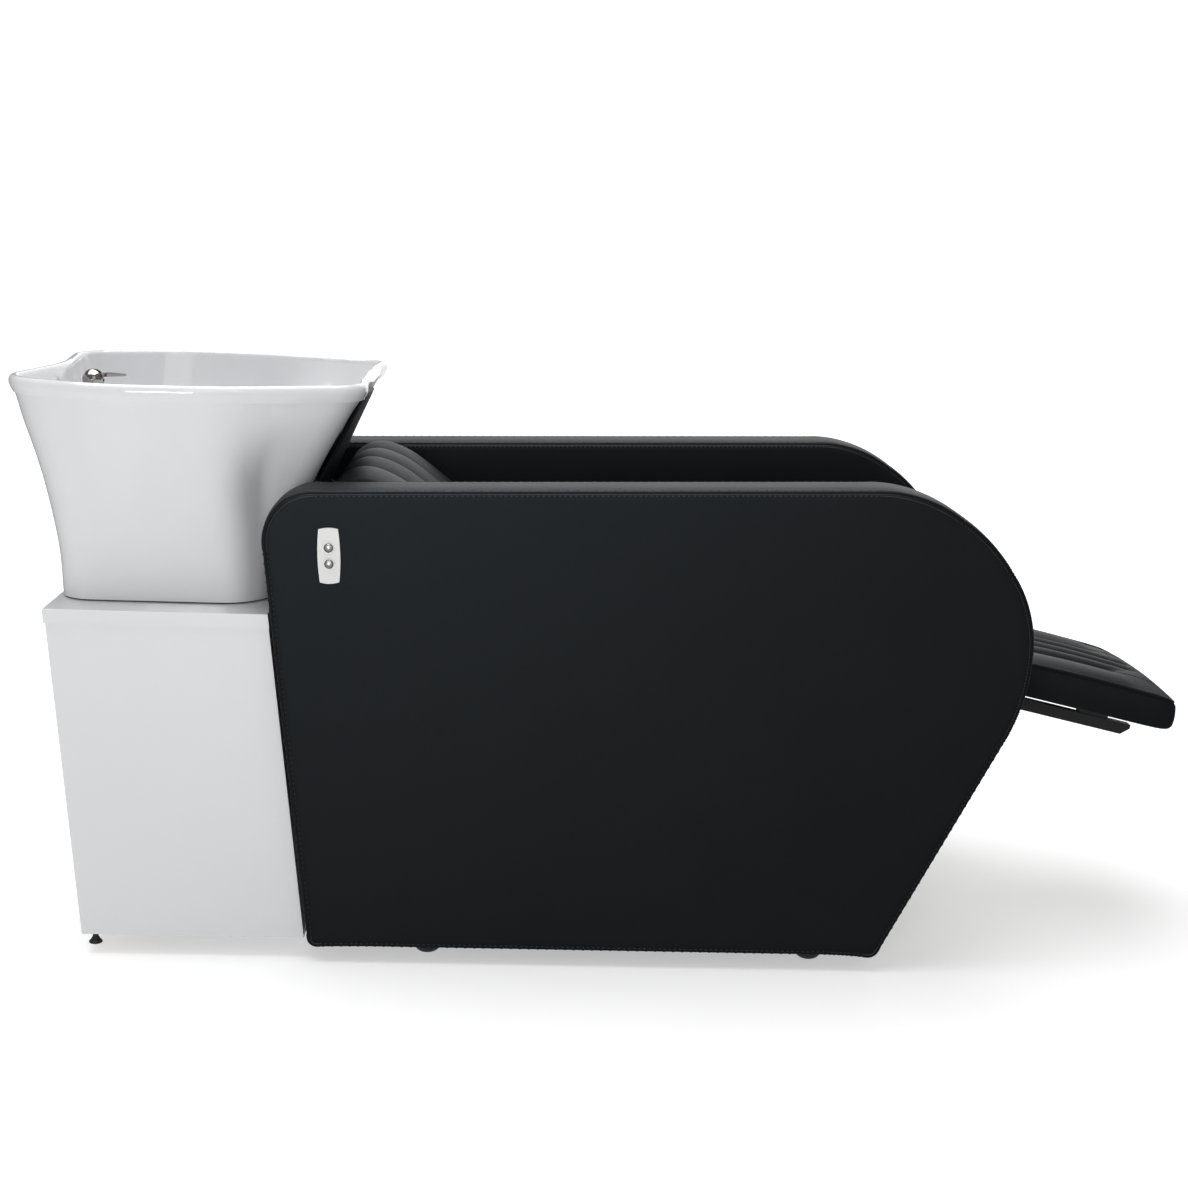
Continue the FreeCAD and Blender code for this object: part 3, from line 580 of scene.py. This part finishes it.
def through(keys, count):
    """Rows of numbers joined by cubic pieces whose slopes are the mean of the neighbouring steps'."""
    keys = np.asarray(keys, float)
    slope = np.gradient(keys, axis=0)
    t = np.linspace(0.0, len(keys) - 1, count)
    i = np.minimum(t.astype(int), len(keys) - 2)
    s = (t - i)[:, None]
    return (
        (1 + 2 * s) * (1 - s) ** 2 * keys[i]
        + s * (1 - s) ** 2 * slope[i]
        + s**2 * (3 - 2 * s) * keys[i + 1]
        + s**2 * (s - 1) * slope[i + 1]
    )


def skin(grid):
    """Closed skin over rows of loops: quads between rows, and a fan from each end row to its middle."""
    rows, loop = grid.shape[:2]
    index = np.arange(rows * loop).reshape(rows, loop)
    turned = np.roll(index, -1, 1)
    quads = np.stack([index[:-1], turned[:-1], turned[1:], index[1:]], -1).reshape(-1, 4)
    pole = np.full(loop, rows * loop)
    fans = np.vstack(
        [np.stack([pole, turned[0], index[0]], -1), np.stack([pole + 1, index[-1], turned[-1]], -1)]
    )
    points = np.vstack([grid.reshape(-1, 3), grid[0].mean(0)[None], grid[-1].mean(0)[None]])
    a, b, c, d = (points[quads[:, k]] for k in range(4))
    if np.sum(np.cross(a, b) * c) + np.sum(np.cross(a, c) * d) < 0:
        quads, fans = quads[:, ::-1], fans[:, ::-1]
    return points, quads, fans


def add_mesh(name, points, faces, slot):
    """Smooth-shaded mesh object at the origin in one material."""
    mesh = bpy.data.meshes.new(name)
    mesh.from_pydata(points.tolist(), [], sum((part.tolist() for part in faces), []))
    mesh.shade_smooth()
    mesh.materials.append(finish(slot))
    made = bpy.data.objects.new(name, mesh)
    bpy.context.scene.collection.objects.link(made)
    return made


def subdivide(made):
    """One level of subdivision, the same in view and render."""
    smooth = made.modifiers.new("Smooth", "SUBSURF")
    smooth.levels = 1
    smooth.render_levels = 1


def show(made, body, slot, *nodes):
    """Fastens a piece to its body, in place of CAD nodes where it stands for them."""
    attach(made, body)
    if nodes:
        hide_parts(*nodes)
    return made


def inflate(points, quads, fans, sewn):
    """Cover blown up by cloth pressure: sewn points stay, the others move by no more than the swell."""
    look = bpy.context.scene.backwash
    scene = bpy.context.scene
    cover = add_mesh("cover", points, (quads, fans), "black_leatherette")
    group = cover.vertex_groups.new(name="sewn")
    group.add(np.flatnonzero(sewn).tolist(), 1.0, "REPLACE")
    cloth = cover.modifiers.new("Cloth", "CLOTH")
    cloth.settings.vertex_group_mass = "sewn"
    cloth.settings.use_pressure = True
    cloth.settings.uniform_pressure_force = look.pressure
    cloth.settings.effector_weights.gravity = 0.0
    cloth.point_cache.frame_start = 1
    cloth.point_cache.frame_end = CLOTH_FRAMES
    for step in range(1, CLOTH_FRAMES + 1):
        scene.frame_set(step)
    blown = cover.evaluated_get(bpy.context.evaluated_depsgraph_get()).data
    moved = np.empty(len(points) * 3, np.float32)
    blown.vertices.foreach_get("co", moved)
    bpy.data.objects.remove(cover)
    scene.frame_set(1)
    shift = moved.reshape(-1, 3).astype(float) - points
    if not np.isfinite(shift).all():
        raise RuntimeError("the cover's simulation gave no finite shape")
    far = np.linalg.norm(shift, axis=1, keepdims=True)
    return points + shift * np.minimum(1.0, look.swell / np.maximum(far, 1e-9))


def pad_grid(stations, panels, per_panel, per_side, per_base, sewn_to=None):
    """Cushion as rows of loops, and which columns are sewn and which lie underneath.

    A station holds its base in X and Z, its up direction, half width, side height and crown. A loop goes
    flat along the base, up a side that bows out between its two edges, over a row of panels and down the
    other side. A panel rises as a flattened parabola from seam to seam, on a crown over the whole width.
    Past the row that sewn_to gives for a place across, the panels blend into one smooth crown.
    """
    px, pz, nx, nz, half, rise, crown = (column[:, None] for column in stations.T)
    flat = half - TUCK
    base = np.arange(per_base) / per_base
    side = np.arange(per_side) / per_side
    across = [flat * (1 - 2 * base), -half + TUCK * (2 * side - 1) ** 2]
    up = [0 * flat * base, rise * side]
    for left, right, count in zip(panels, panels[1:], per_panel):
        s = np.arange(count) / count
        place = left + (right - left) * s
        across.append(flat * place)
        puffed = (4 * s * (1 - s)) ** PUFF_POWER * PUFF_SHARE + (1 - PUFF_SHARE) * (1 - place**2)
        if sewn_to is not None:
            rows = np.arange(len(stations))[:, None]
            share = np.clip((rows - sewn_to(place)) / SEWN_BLEND_ROWS, 0.0, 1.0)
            share = share * share * (3.0 - 2.0 * share)
            puffed = puffed + share * ((1 - place**2) ** PUFF_POWER - puffed)
        up.append(rise + crown * puffed)
    across.append(half - TUCK * (2 * side - 1) ** 2)
    up.append(rise * (1 - side))
    under = np.concatenate([np.full(c.shape[1], k == 0) for k, c in enumerate(across)])
    under[per_base] = True
    starts = np.cumsum([c.shape[1] for c in across])[1:-1]
    sewn = np.zeros(len(under), bool)
    sewn[starts] = True
    across, up = np.hstack(across), np.hstack(up)
    grid = np.stack([px + nx * up, across + 0 * up, pz + nz * up], -1)
    return grid, sewn, under


def closed_ends(grid):
    """The grid with each end row drawn in towards its own middle, which makes a flat end."""
    first = [grid[0].mean(0) + (grid[0] - grid[0].mean(0)) * k for k in END_SHARES[::-1]]
    last = [grid[-1].mean(0) + (grid[-1] - grid[-1].mean(0)) * k for k in END_SHARES]
    return np.concatenate([first, grid, last])


def even_stations(keys, count):
    """Stations evenly spaced along a line a little over half way up their sides."""
    dense = through(keys, STATION_SAMPLES * len(keys))
    middle = dense[:, :2] + dense[:, 2:4] * dense[:, 5:6] * STATION_HEIGHT
    run = np.concatenate([[0.0], np.cumsum(np.linalg.norm(np.diff(middle, axis=0), axis=1))])
    at = np.linspace(0.0, run[-1], count)
    return np.stack([np.interp(at, run, column) for column in dense.T], -1)


def channelled_grid(keys, per_side):
    """Cushion grid with channels of equal width along its whole length."""
    seams = np.linspace(-1, 1, PAD_PANELS + 1)
    return pad_grid(even_stations(keys, PAD_ROWS), seams, [PAD_COLUMNS] * PAD_PANELS, per_side, PAD_BASE)


def sewn_pad(name, body, node, grid, seams, under):
    """Padded piece from a grid of loops, swollen by simulation and creased at its seams; returns its grid."""
    seams = np.broadcast_to(seams, grid.shape[:2])
    grid = closed_ends(grid)
    seams = np.pad(seams, ((END_ROWS, END_ROWS), (0, 0)), mode="edge")
    points, quads, fans = skin(grid)
    held = np.concatenate([(seams | under).ravel(), [True, True]])
    points = inflate(points, quads, fans, held)
    made = add_mesh(name, points, (quads, fans), "black_leatherette")
    ends = np.empty(len(made.data.edges) * 2, np.int32)
    made.data.edges.foreach_get("vertices", ends)
    sewn = np.append(seams.ravel(), [False, False])[ends.reshape(-1, 2)].all(1)
    crease = made.data.attributes.new("crease_edge", "FLOAT", "EDGE")
    crease.data.foreach_set("value", (sewn * SEAM_CREASE).astype(np.float32))
    subdivide(made)
    show(made, body, "black_leatherette", node)
    return points[:-2].reshape(grid.shape)[END_ROWS:-END_ROWS]


def stitches(name, body, path, normal, closed=True):
    """Row of short thread capsules along a path, lying on the surface that the normals give."""
    pitch = bpy.context.scene.backwash.stitch
    length = np.sum(np.linalg.norm(np.diff(path, axis=0), axis=1))
    count = int(length / pitch)
    both = evenly(np.hstack([path, normal]), count, closed)
    centre, up = both[:, :3], unit(both[:, 3:])
    step = np.roll(centre, -1, 0) - np.roll(centre, 1, 0) if closed else np.gradient(centre, axis=0)
    along = unit(step)
    side = np.cross(along, up)
    reach = np.array(STITCH_REACH) * pitch
    girth = np.array(STITCH_GIRTH) * THREAD_RADIUS
    turn = np.linspace(0, 2 * np.pi, STITCH_SIDES, endpoint=False)
    ring = np.cos(turn)[:, None, None] * side + np.sin(turn)[:, None, None] * up
    grid = (
        centre[None, None]
        + reach[:, None, None, None] * along
        + girth[:, None, None, None] * ring[None]
        + THREAD_LIFT * up
    )
    grid = grid.transpose(2, 0, 1, 3)
    corners = len(STITCH_REACH) * STITCH_SIDES
    index = np.arange(corners).reshape(-1, STITCH_SIDES)
    turned = np.roll(index, -1, 1)
    quads = np.stack([index[:-1], index[1:], turned[1:], turned[:-1]], -1).reshape(-1, 4)
    caps = np.vstack([index[0][::-1], index[-1]])
    jump = (np.arange(count) * corners)[:, None, None]
    faces = ((quads + jump).reshape(-1, 4), (caps + jump).reshape(-1, STITCH_SIDES))
    return show(add_mesh(name, grid.reshape(-1, 3), faces, "thread"), body, "black_leatherette")


def tube(name, body, path, up, radius):
    """Round cord along an open path, with its ends closed; up is a direction that the path never follows."""
    along = unit(np.gradient(path, axis=0))
    side = unit(np.cross(along, up))
    over = np.cross(side, along)
    turn = np.linspace(0, 2 * np.pi, PIPING_SIDES, endpoint=False)
    ring = np.cos(turn)[None, :, None] * side[:, None] + np.sin(turn)[None, :, None] * over[:, None]
    points, quads, fans = skin(path[:, None] + radius * ring)
    return show(add_mesh(name, points, (quads, fans), "black_leatherette"), body, "black_leatherette")


class BACKWASH_OT_finishes(bpy.types.Operator):
    """Gives every CAD node the material of its slot"""

    bl_idname = "backwash.finishes"
    bl_label = "Finishes"

    def execute(self, context):
        for part in frame["record"]["subparts"]:
            for place in frame["nodes"][part["node"]].material_slots:
                place.material = finish(part["material_slot"])
        return {"FINISHED"}


class BACKWASH_OT_buttons(bpy.types.Operator):
    """Gives the two buttons domed metal caps, a little narrower than the rings that they sit in"""

    bl_idname = "backwash.buttons"
    bl_label = "Buttons"

    def execute(self, context):
        for name in BUTTONS:
            low, high = (np.array(frame["nodes"][name].bound_box)[k] for k in (0, 6))
            middle, half = (low + high) / 2, (high[0] - low[0]) / 2
            radius, depth = np.array(BUTTON_PROFILE).T
            turn = np.linspace(0, 2 * np.pi, BUTTON_SIDES, endpoint=False)
            grid = np.stack(
                np.broadcast_arrays(
                    middle[0] + half * radius[:, None] * np.cos(turn),
                    low[1] + (high[1] - low[1]) * depth[:, None],
                    middle[2] + half * radius[:, None] * np.sin(turn),
                ),
                -1,
            )
            points, quads, fans = skin(grid)
            show(add_mesh(name + "_cap", points, (quads, fans), "satin_metal"), name, "silver_plastic", name)
        return {"FINISHED"}


def arm_rings(loop, out):
    """Rings of an arm's cover in X and Z, and how far in each lies from the outer side panel's edge.

    A side panel crowned by its slack, a quarter circle that dips at the seam, a crowned strip, and the same
    again in reverse.
    """
    turn = np.radians(ARM_TURNS)
    dip = np.array(ARM_DIPS)
    inset = ARM_EDGE - (ARM_EDGE - dip) * np.sin(turn)
    depth = ARM_EDGE - (ARM_EDGE - dip) * np.cos(turn)
    strip = np.linspace(0, 1, ARM_STRIP_ROWS + 2)[1:-1]
    width = ARM_OUT - ARM_IN
    across = np.concatenate([depth, ARM_EDGE + (width - 2 * ARM_EDGE) * strip, width - depth[::-1]])
    inward = np.concatenate([inset, -ARM_STRIP_CROWN * (1 - (2 * strip - 1) ** 4), inset[::-1]])
    edge = loop[None] - out[None] * inward[:, None, None]
    shrink = np.array(ARM_SHEET)[:, None, None]
    middle = loop.mean(0)
    sheet = middle + (edge[:1] - middle) * shrink
    crown = ARM_SLACK * (1 - shrink[:, 0, 0] ** 6)
    level = np.concatenate([-crown, across, width + crown[::-1]])
    return np.concatenate([sheet, edge, sheet[::-1]]), level * (width - 2 * ARM_SLACK) / width


def arm_stitches(node, sign, loop, out):
    """Two rows of stitches at each of an arm's edges, on the quarter circle at equal turns from its ends."""
    outward = np.stack([out[:, 0], np.zeros(ARM_LOOP), out[:, 1]], -1)
    lean = math.radians(ARM_STITCH_TURN)
    close, deep = ARM_EDGE * (1 - math.cos(lean)), ARM_EDGE * (1 - math.sin(lean))
    rows = (("strip", close, deep, lean), ("panel", deep, close, math.pi / 2 - lean))
    for side, name in ((ARM_OUT - ARM_SLACK, "outer"), (ARM_IN + ARM_SLACK, "inner")):
        to_mid = math.copysign(1.0, (ARM_OUT + ARM_IN) / 2 - side) * sign
        face = np.array([0.0, -to_mid, 0.0])
        for row, drawn, sunk, turned in rows:
            x, z = (loop - out * drawn).T
            path = np.stack([x, np.full_like(x, sign * side + to_mid * sunk), z], -1)
            normal = math.cos(turned) * outward + math.sin(turned) * face
            stitches(f"{node}_{name}_{row}_stitches", "base", path, normal)


class BACKWASH_OT_arms(bpy.types.Operator):
    """Upholsters the two arms: side panels sewn to an edge strip, with stitches on each side of the seam"""

    bl_idname = "backwash.arms"
    bl_label = "Arms"

    def execute(self, context):
        loop = rounded_loop(ARM_CORNERS, ARM_LOOP)
        along = unit(np.roll(loop, -1, 0) - np.roll(loop, 1, 0))
        out = np.stack([along[:, 1], -along[:, 0]], -1)
        rings, level = arm_rings(loop, out)
        for node, sign in (("arm_near", -1.0), ("arm_far", 1.0)):
            y = sign * (ARM_OUT - ARM_SLACK - level)
            grid = np.stack([rings[..., 0], np.broadcast_to(y[:, None], rings.shape[:2]), rings[..., 1]], -1)
            points, quads, fans = skin(grid)
            made = add_mesh(node + "_cover", points, (quads, fans), "black_leatherette")
            show(made, "base", "black_leatherette", node)
            arm_stitches(node, sign, loop, out)
        return {"FINISHED"}


class BACKWASH_OT_seat(bpy.types.Operator):
    """Upholsters the seat in four long channels"""

    bl_idname = "backwash.seat"
    bl_label = "Seat"

    def execute(self, context):
        x, lean, rise, crown = np.array(SEAT_KEYS).T
        keys = np.stack(
            [x, 0 * x + SEAT_Z, np.sin(lean), np.cos(lean), 0 * x + SEAT_HALF, rise, crown], -1
        )
        grid, sewn, under = channelled_grid(keys, SEAT_SIDE_POINTS)
        sewn_pad("seat_cover", "base", "seat_cushion", grid, sewn, under)
        return {"FINISHED"}


class BACKWASH_OT_back(bpy.types.Operator):
    """Upholsters the backrest in four channels that roll over its top"""

    bl_idname = "backwash.back"
    bl_label = "Back"

    def execute(self, context):
        along, off, turn, rise, crown = np.array(BACK_KEYS).T
        foot = BACK_POINT + along[:, None] * BACK_DOWN + off[:, None] * BACK_FACE
        angle = math.atan2(BACK_FACE[1], BACK_FACE[0]) - np.radians(turn)
        keys = np.column_stack(
            [foot, np.cos(angle), np.sin(angle), 0 * along + SEAT_HALF, rise, crown]
        )
        grid, sewn, under = channelled_grid(keys, BACK_SIDE_POINTS)
        sewn_pad("back_cover", "base", "back_cushion", grid, sewn, under)
        return {"FINISHED"}


class BACKWASH_OT_neck(bpy.types.Operator):
    """Upholsters the panel that rises from the backrest to the notch of the bowl"""

    bl_idname = "backwash.neck"
    bl_label = "Neck panel"

    def execute(self, context):
        z, half = np.array(NECK_KEYS).T
        x = NECK_TIP[0] - NECK_LEAN * (NECK_TIP[1] - z) - NECK_THICK
        keys = np.stack([x, z, 0 * z + 1, 0 * z, half, 0 * z + NECK_SIDE, 0 * z + NECK_CROWN], -1)
        stations = even_stations(keys, NECK_ROWS)
        grid = pad_grid(stations, [-1, 1], [NECK_COLUMNS], NECK_SIDE_POINTS, NECK_BASE_POINTS)[0]
        points, quads, fans = skin(closed_ends(grid))
        made = add_mesh("neck_cover", points, (quads, fans), "black_leatherette")
        subdivide(made)
        show(made, "base", "black_leatherette", "neck_panel")
        return {"FINISHED"}


class BACKWASH_OT_leg_rest(bpy.types.Operator):
    """Upholsters the leg-rest: a boxed pad with piping round its top and a sewn panel of three channels"""

    bl_idname = "backwash.leg_rest"
    bl_label = "Leg-rest"

    def execute(self, context):
        u, lean, half, rise, crown, lift = np.array(REST_KEYS).T
        ahead = np.array([math.cos(REST_TILT), -math.sin(REST_TILT)])
        above = np.array([math.sin(REST_TILT), math.cos(REST_TILT)])
        foot = PIVOT + u[:, None] * ahead + (REST_RISE + lift)[:, None] * above
        angle = REST_TILT + np.radians(lean)
        keys = np.column_stack([foot, np.sin(angle), np.cos(angle), half, rise, crown])
        stations = even_stations(keys, PAD_ROWS)
        reach = (stations[:, :2] - PIVOT) @ ahead

        def arch(place):
            """Reach of the arched seam: a parabola from the channels' sides to their middle."""
            bow = 1 - np.clip(place / REST_PANELS[-2], -1, 1) ** 2
            return REST_ARCH[0] + (REST_ARCH[1] - REST_ARCH[0]) * bow

        def last_row(place):
            """Row of the grid at which the channels end."""
            return np.interp(arch(place), reach, np.arange(len(reach)))

        grid, sewn, under = pad_grid(
            stations, REST_PANELS, REST_COLUMNS, REST_SIDE_POINTS, REST_BASE_POINTS, last_row
        )
        tops = np.flatnonzero(sewn)
        inner = np.zeros_like(sewn)
        inner[tops[1:-1]] = True
        ends = np.zeros_like(sewn)
        ends[tops[[0, -1]]] = True
        end_row = last_row(grid[len(grid) // 2, :, 1] / (REST_HALF - TUCK))[None]
        row = np.arange(len(reach))[:, None]
        before = row < end_row
        crossing = np.abs(row - end_row) < ARCH_ROWS
        within = np.zeros_like(sewn)
        within[tops[1] : tops[-2] + 1] = True
        seams = (inner & before) | (within & crossing) | ends
        rows = sewn_pad("legrest_cover", "legrest", "legrest_pad", grid, seams, under)
        front = rows[-PIPING_ROW, tops[0] : tops[-1] + 1]
        sides = rows[:-PIPING_ROW]
        edge = np.concatenate([sides[:, tops[0]], front, sides[::-1, tops[-1]]])
        edge = evenly(edge, PIPING_POINTS, False)
        for _ in range(PIPING_SMOOTHING):
            edge[1:-1] = (edge[:-2] + 2 * edge[1:-1] + edge[2:]) / 4
        up = np.array([above[0], 0.0, above[1]])
        tube("legrest_piping", "legrest", edge, up, REST_PIPING)
        columns = (("near", tops[1] - REST_STITCH_COLUMNS), ("far", tops[-2] + REST_STITCH_COLUMNS))
        for name, column in columns:
            path = rows[REST_STITCH_ROWS, column]
            stitches(f"legrest_{name}_stitches", "legrest", path, np.broadcast_to(up, path.shape), False)
        return {"FINISHED"}


def placement(right, up, back, place):
    """Matrix of an object at a place, with its X, Y and Z axes right, up and back."""
    basis = np.eye(4)
    basis[:3] = np.column_stack([right, up, back, place])
    return Matrix(basis.tolist())


def pale_floor(context):
    """Large plane that gives off more light with its distance from the origin, so that it fades to white."""
    bpy.ops.mesh.primitive_plane_add(size=FLOOR_SIZE)
    floor = context.object
    floor.name = "floor"

    def paint(where):
        cloud = noise(where, 2.0, 2.0)
        far = where.node("ShaderNodeVectorMath", {0: where}, output=1, operation="LENGTH") * FLOOR_FADE
        return {
            "Base Color": tint(cloud, (0.62, 0.62, 0.62, 1.0), (0.65, 0.65, 0.65, 1.0)),
            "Emission Color": tint(far, (0.40, 0.40, 0.40, 1.0), (1.0, 1.0, 1.0, 1.0)),
        }

    floor.data.materials.append(material("floor", paint, Roughness=0.7, Emission_Strength=1.0))
    floor.visible_glossy = False
    return floor


def white_backdrop(context):
    """Large glowing sphere that only the camera sees."""
    bpy.ops.mesh.primitive_uv_sphere_add(radius=BACKDROP_RADIUS)
    backdrop = context.object
    backdrop.name = "backdrop"
    white = {"Emission_Color": (1.0, 1.0, 1.0, 1.0), "Emission_Strength": BACKDROP_STRENGTH}
    backdrop.data.materials.append(material("backdrop", lambda where: {}, **white))
    backdrop.visible_diffuse = False
    backdrop.visible_glossy = False
    backdrop.visible_shadow = False
    return backdrop


def soft_light(scene):
    """An even white surround, and square lamps that each face the same point."""
    world = bpy.data.worlds.new("studio")
    world.use_nodes = True
    sky = world.node_tree.nodes["Background"]
    sky.inputs["Color"].default_value = (1.0, 1.0, 1.0, 1.0)
    sky.inputs["Strength"].default_value = WORLD_STRENGTH
    scene.world = world
    for name, place, size, power in LAMPS:
        light = bpy.data.lights.new(name, "AREA")
        light.size = size
        light.energy = power
        lamp = bpy.data.objects.new(name, light)
        scene.collection.objects.link(lamp)
        back = unit(np.array(place) - LAMP_AIM)
        right = unit(np.cross([0.0, 0.0, 1.0], back))
        lamp.matrix_world = placement(right, np.cross(back, right), back, place)


def photo_camera(scene):
    """Camera turned by its yaw and pitch from a level look along +Y, and then rolled about its own axis."""
    yaw, pitch, roll = CAMERA_TURN
    ahead = np.array([math.sin(yaw) * math.cos(pitch), math.cos(yaw) * math.cos(pitch), -math.sin(pitch)])
    level = np.array([math.cos(yaw), -math.sin(yaw), 0.0])
    sunk = np.cross(ahead, level)
    right = math.cos(roll) * level + math.sin(roll) * sunk
    down = -math.sin(roll) * level + math.cos(roll) * sunk
    lens = bpy.data.cameras.new("camera")
    lens.lens = CAMERA_LENS
    lens.sensor_width = CAMERA_SENSOR
    camera = bpy.data.objects.new("camera", lens)
    camera.matrix_world = placement(right, -down, -ahead, CAMERA_AT)
    scene.collection.objects.link(camera)
    scene.camera = camera


class BACKWASH_OT_stage(bpy.types.Operator):
    """Adds the pale floor, the soft light and the camera of the photograph's angle"""

    bl_idname = "backwash.stage"
    bl_label = "Stage"

    def execute(self, context):
        floor = pale_floor(context)
        backdrop = white_backdrop(context)
        soft_light(context.scene)
        photo_camera(context.scene)
        context.scene.view_settings.view_transform = "Standard"
        return {"FINISHED"}


class BACKWASH_PT_panel(bpy.types.Panel):
    """Lists the looks and their operators"""

    bl_label = "Backwash unit"
    bl_idname = "BACKWASH_PT_panel"
    bl_space_type = "VIEW_3D"
    bl_region_type = "UI"
    bl_category = "Backwash"

    def draw(self, context):
        look = context.scene.backwash
        for key in BackwashProperties.__annotations__:
            self.layout.prop(look, key)
        for operator in OPERATORS:
            self.layout.operator(operator.bl_idname)


OPERATORS = (
    BACKWASH_OT_finishes,
    BACKWASH_OT_buttons,
    BACKWASH_OT_arms,
    BACKWASH_OT_seat,
    BACKWASH_OT_back,
    BACKWASH_OT_neck,
    BACKWASH_OT_leg_rest,
    BACKWASH_OT_stage,
)
CLASSES = (BackwashProperties, *OPERATORS, BACKWASH_PT_panel)


def register():
    for each in CLASSES:
        bpy.utils.register_class(each)
    bpy.types.Scene.backwash = bpy.props.PointerProperty(type=BackwashProperties)


def unregister():
    del bpy.types.Scene.backwash
    for each in reversed(CLASSES):
        bpy.utils.unregister_class(each)


def main():
    register()
    bpy.ops.backwash.finishes()
    bpy.ops.backwash.buttons()
    bpy.ops.backwash.arms()
    bpy.ops.backwash.seat()
    bpy.ops.backwash.back()
    bpy.ops.backwash.neck()
    bpy.ops.backwash.leg_rest()
    bpy.ops.backwash.stage()


if __name__ == "__main__":
    main()
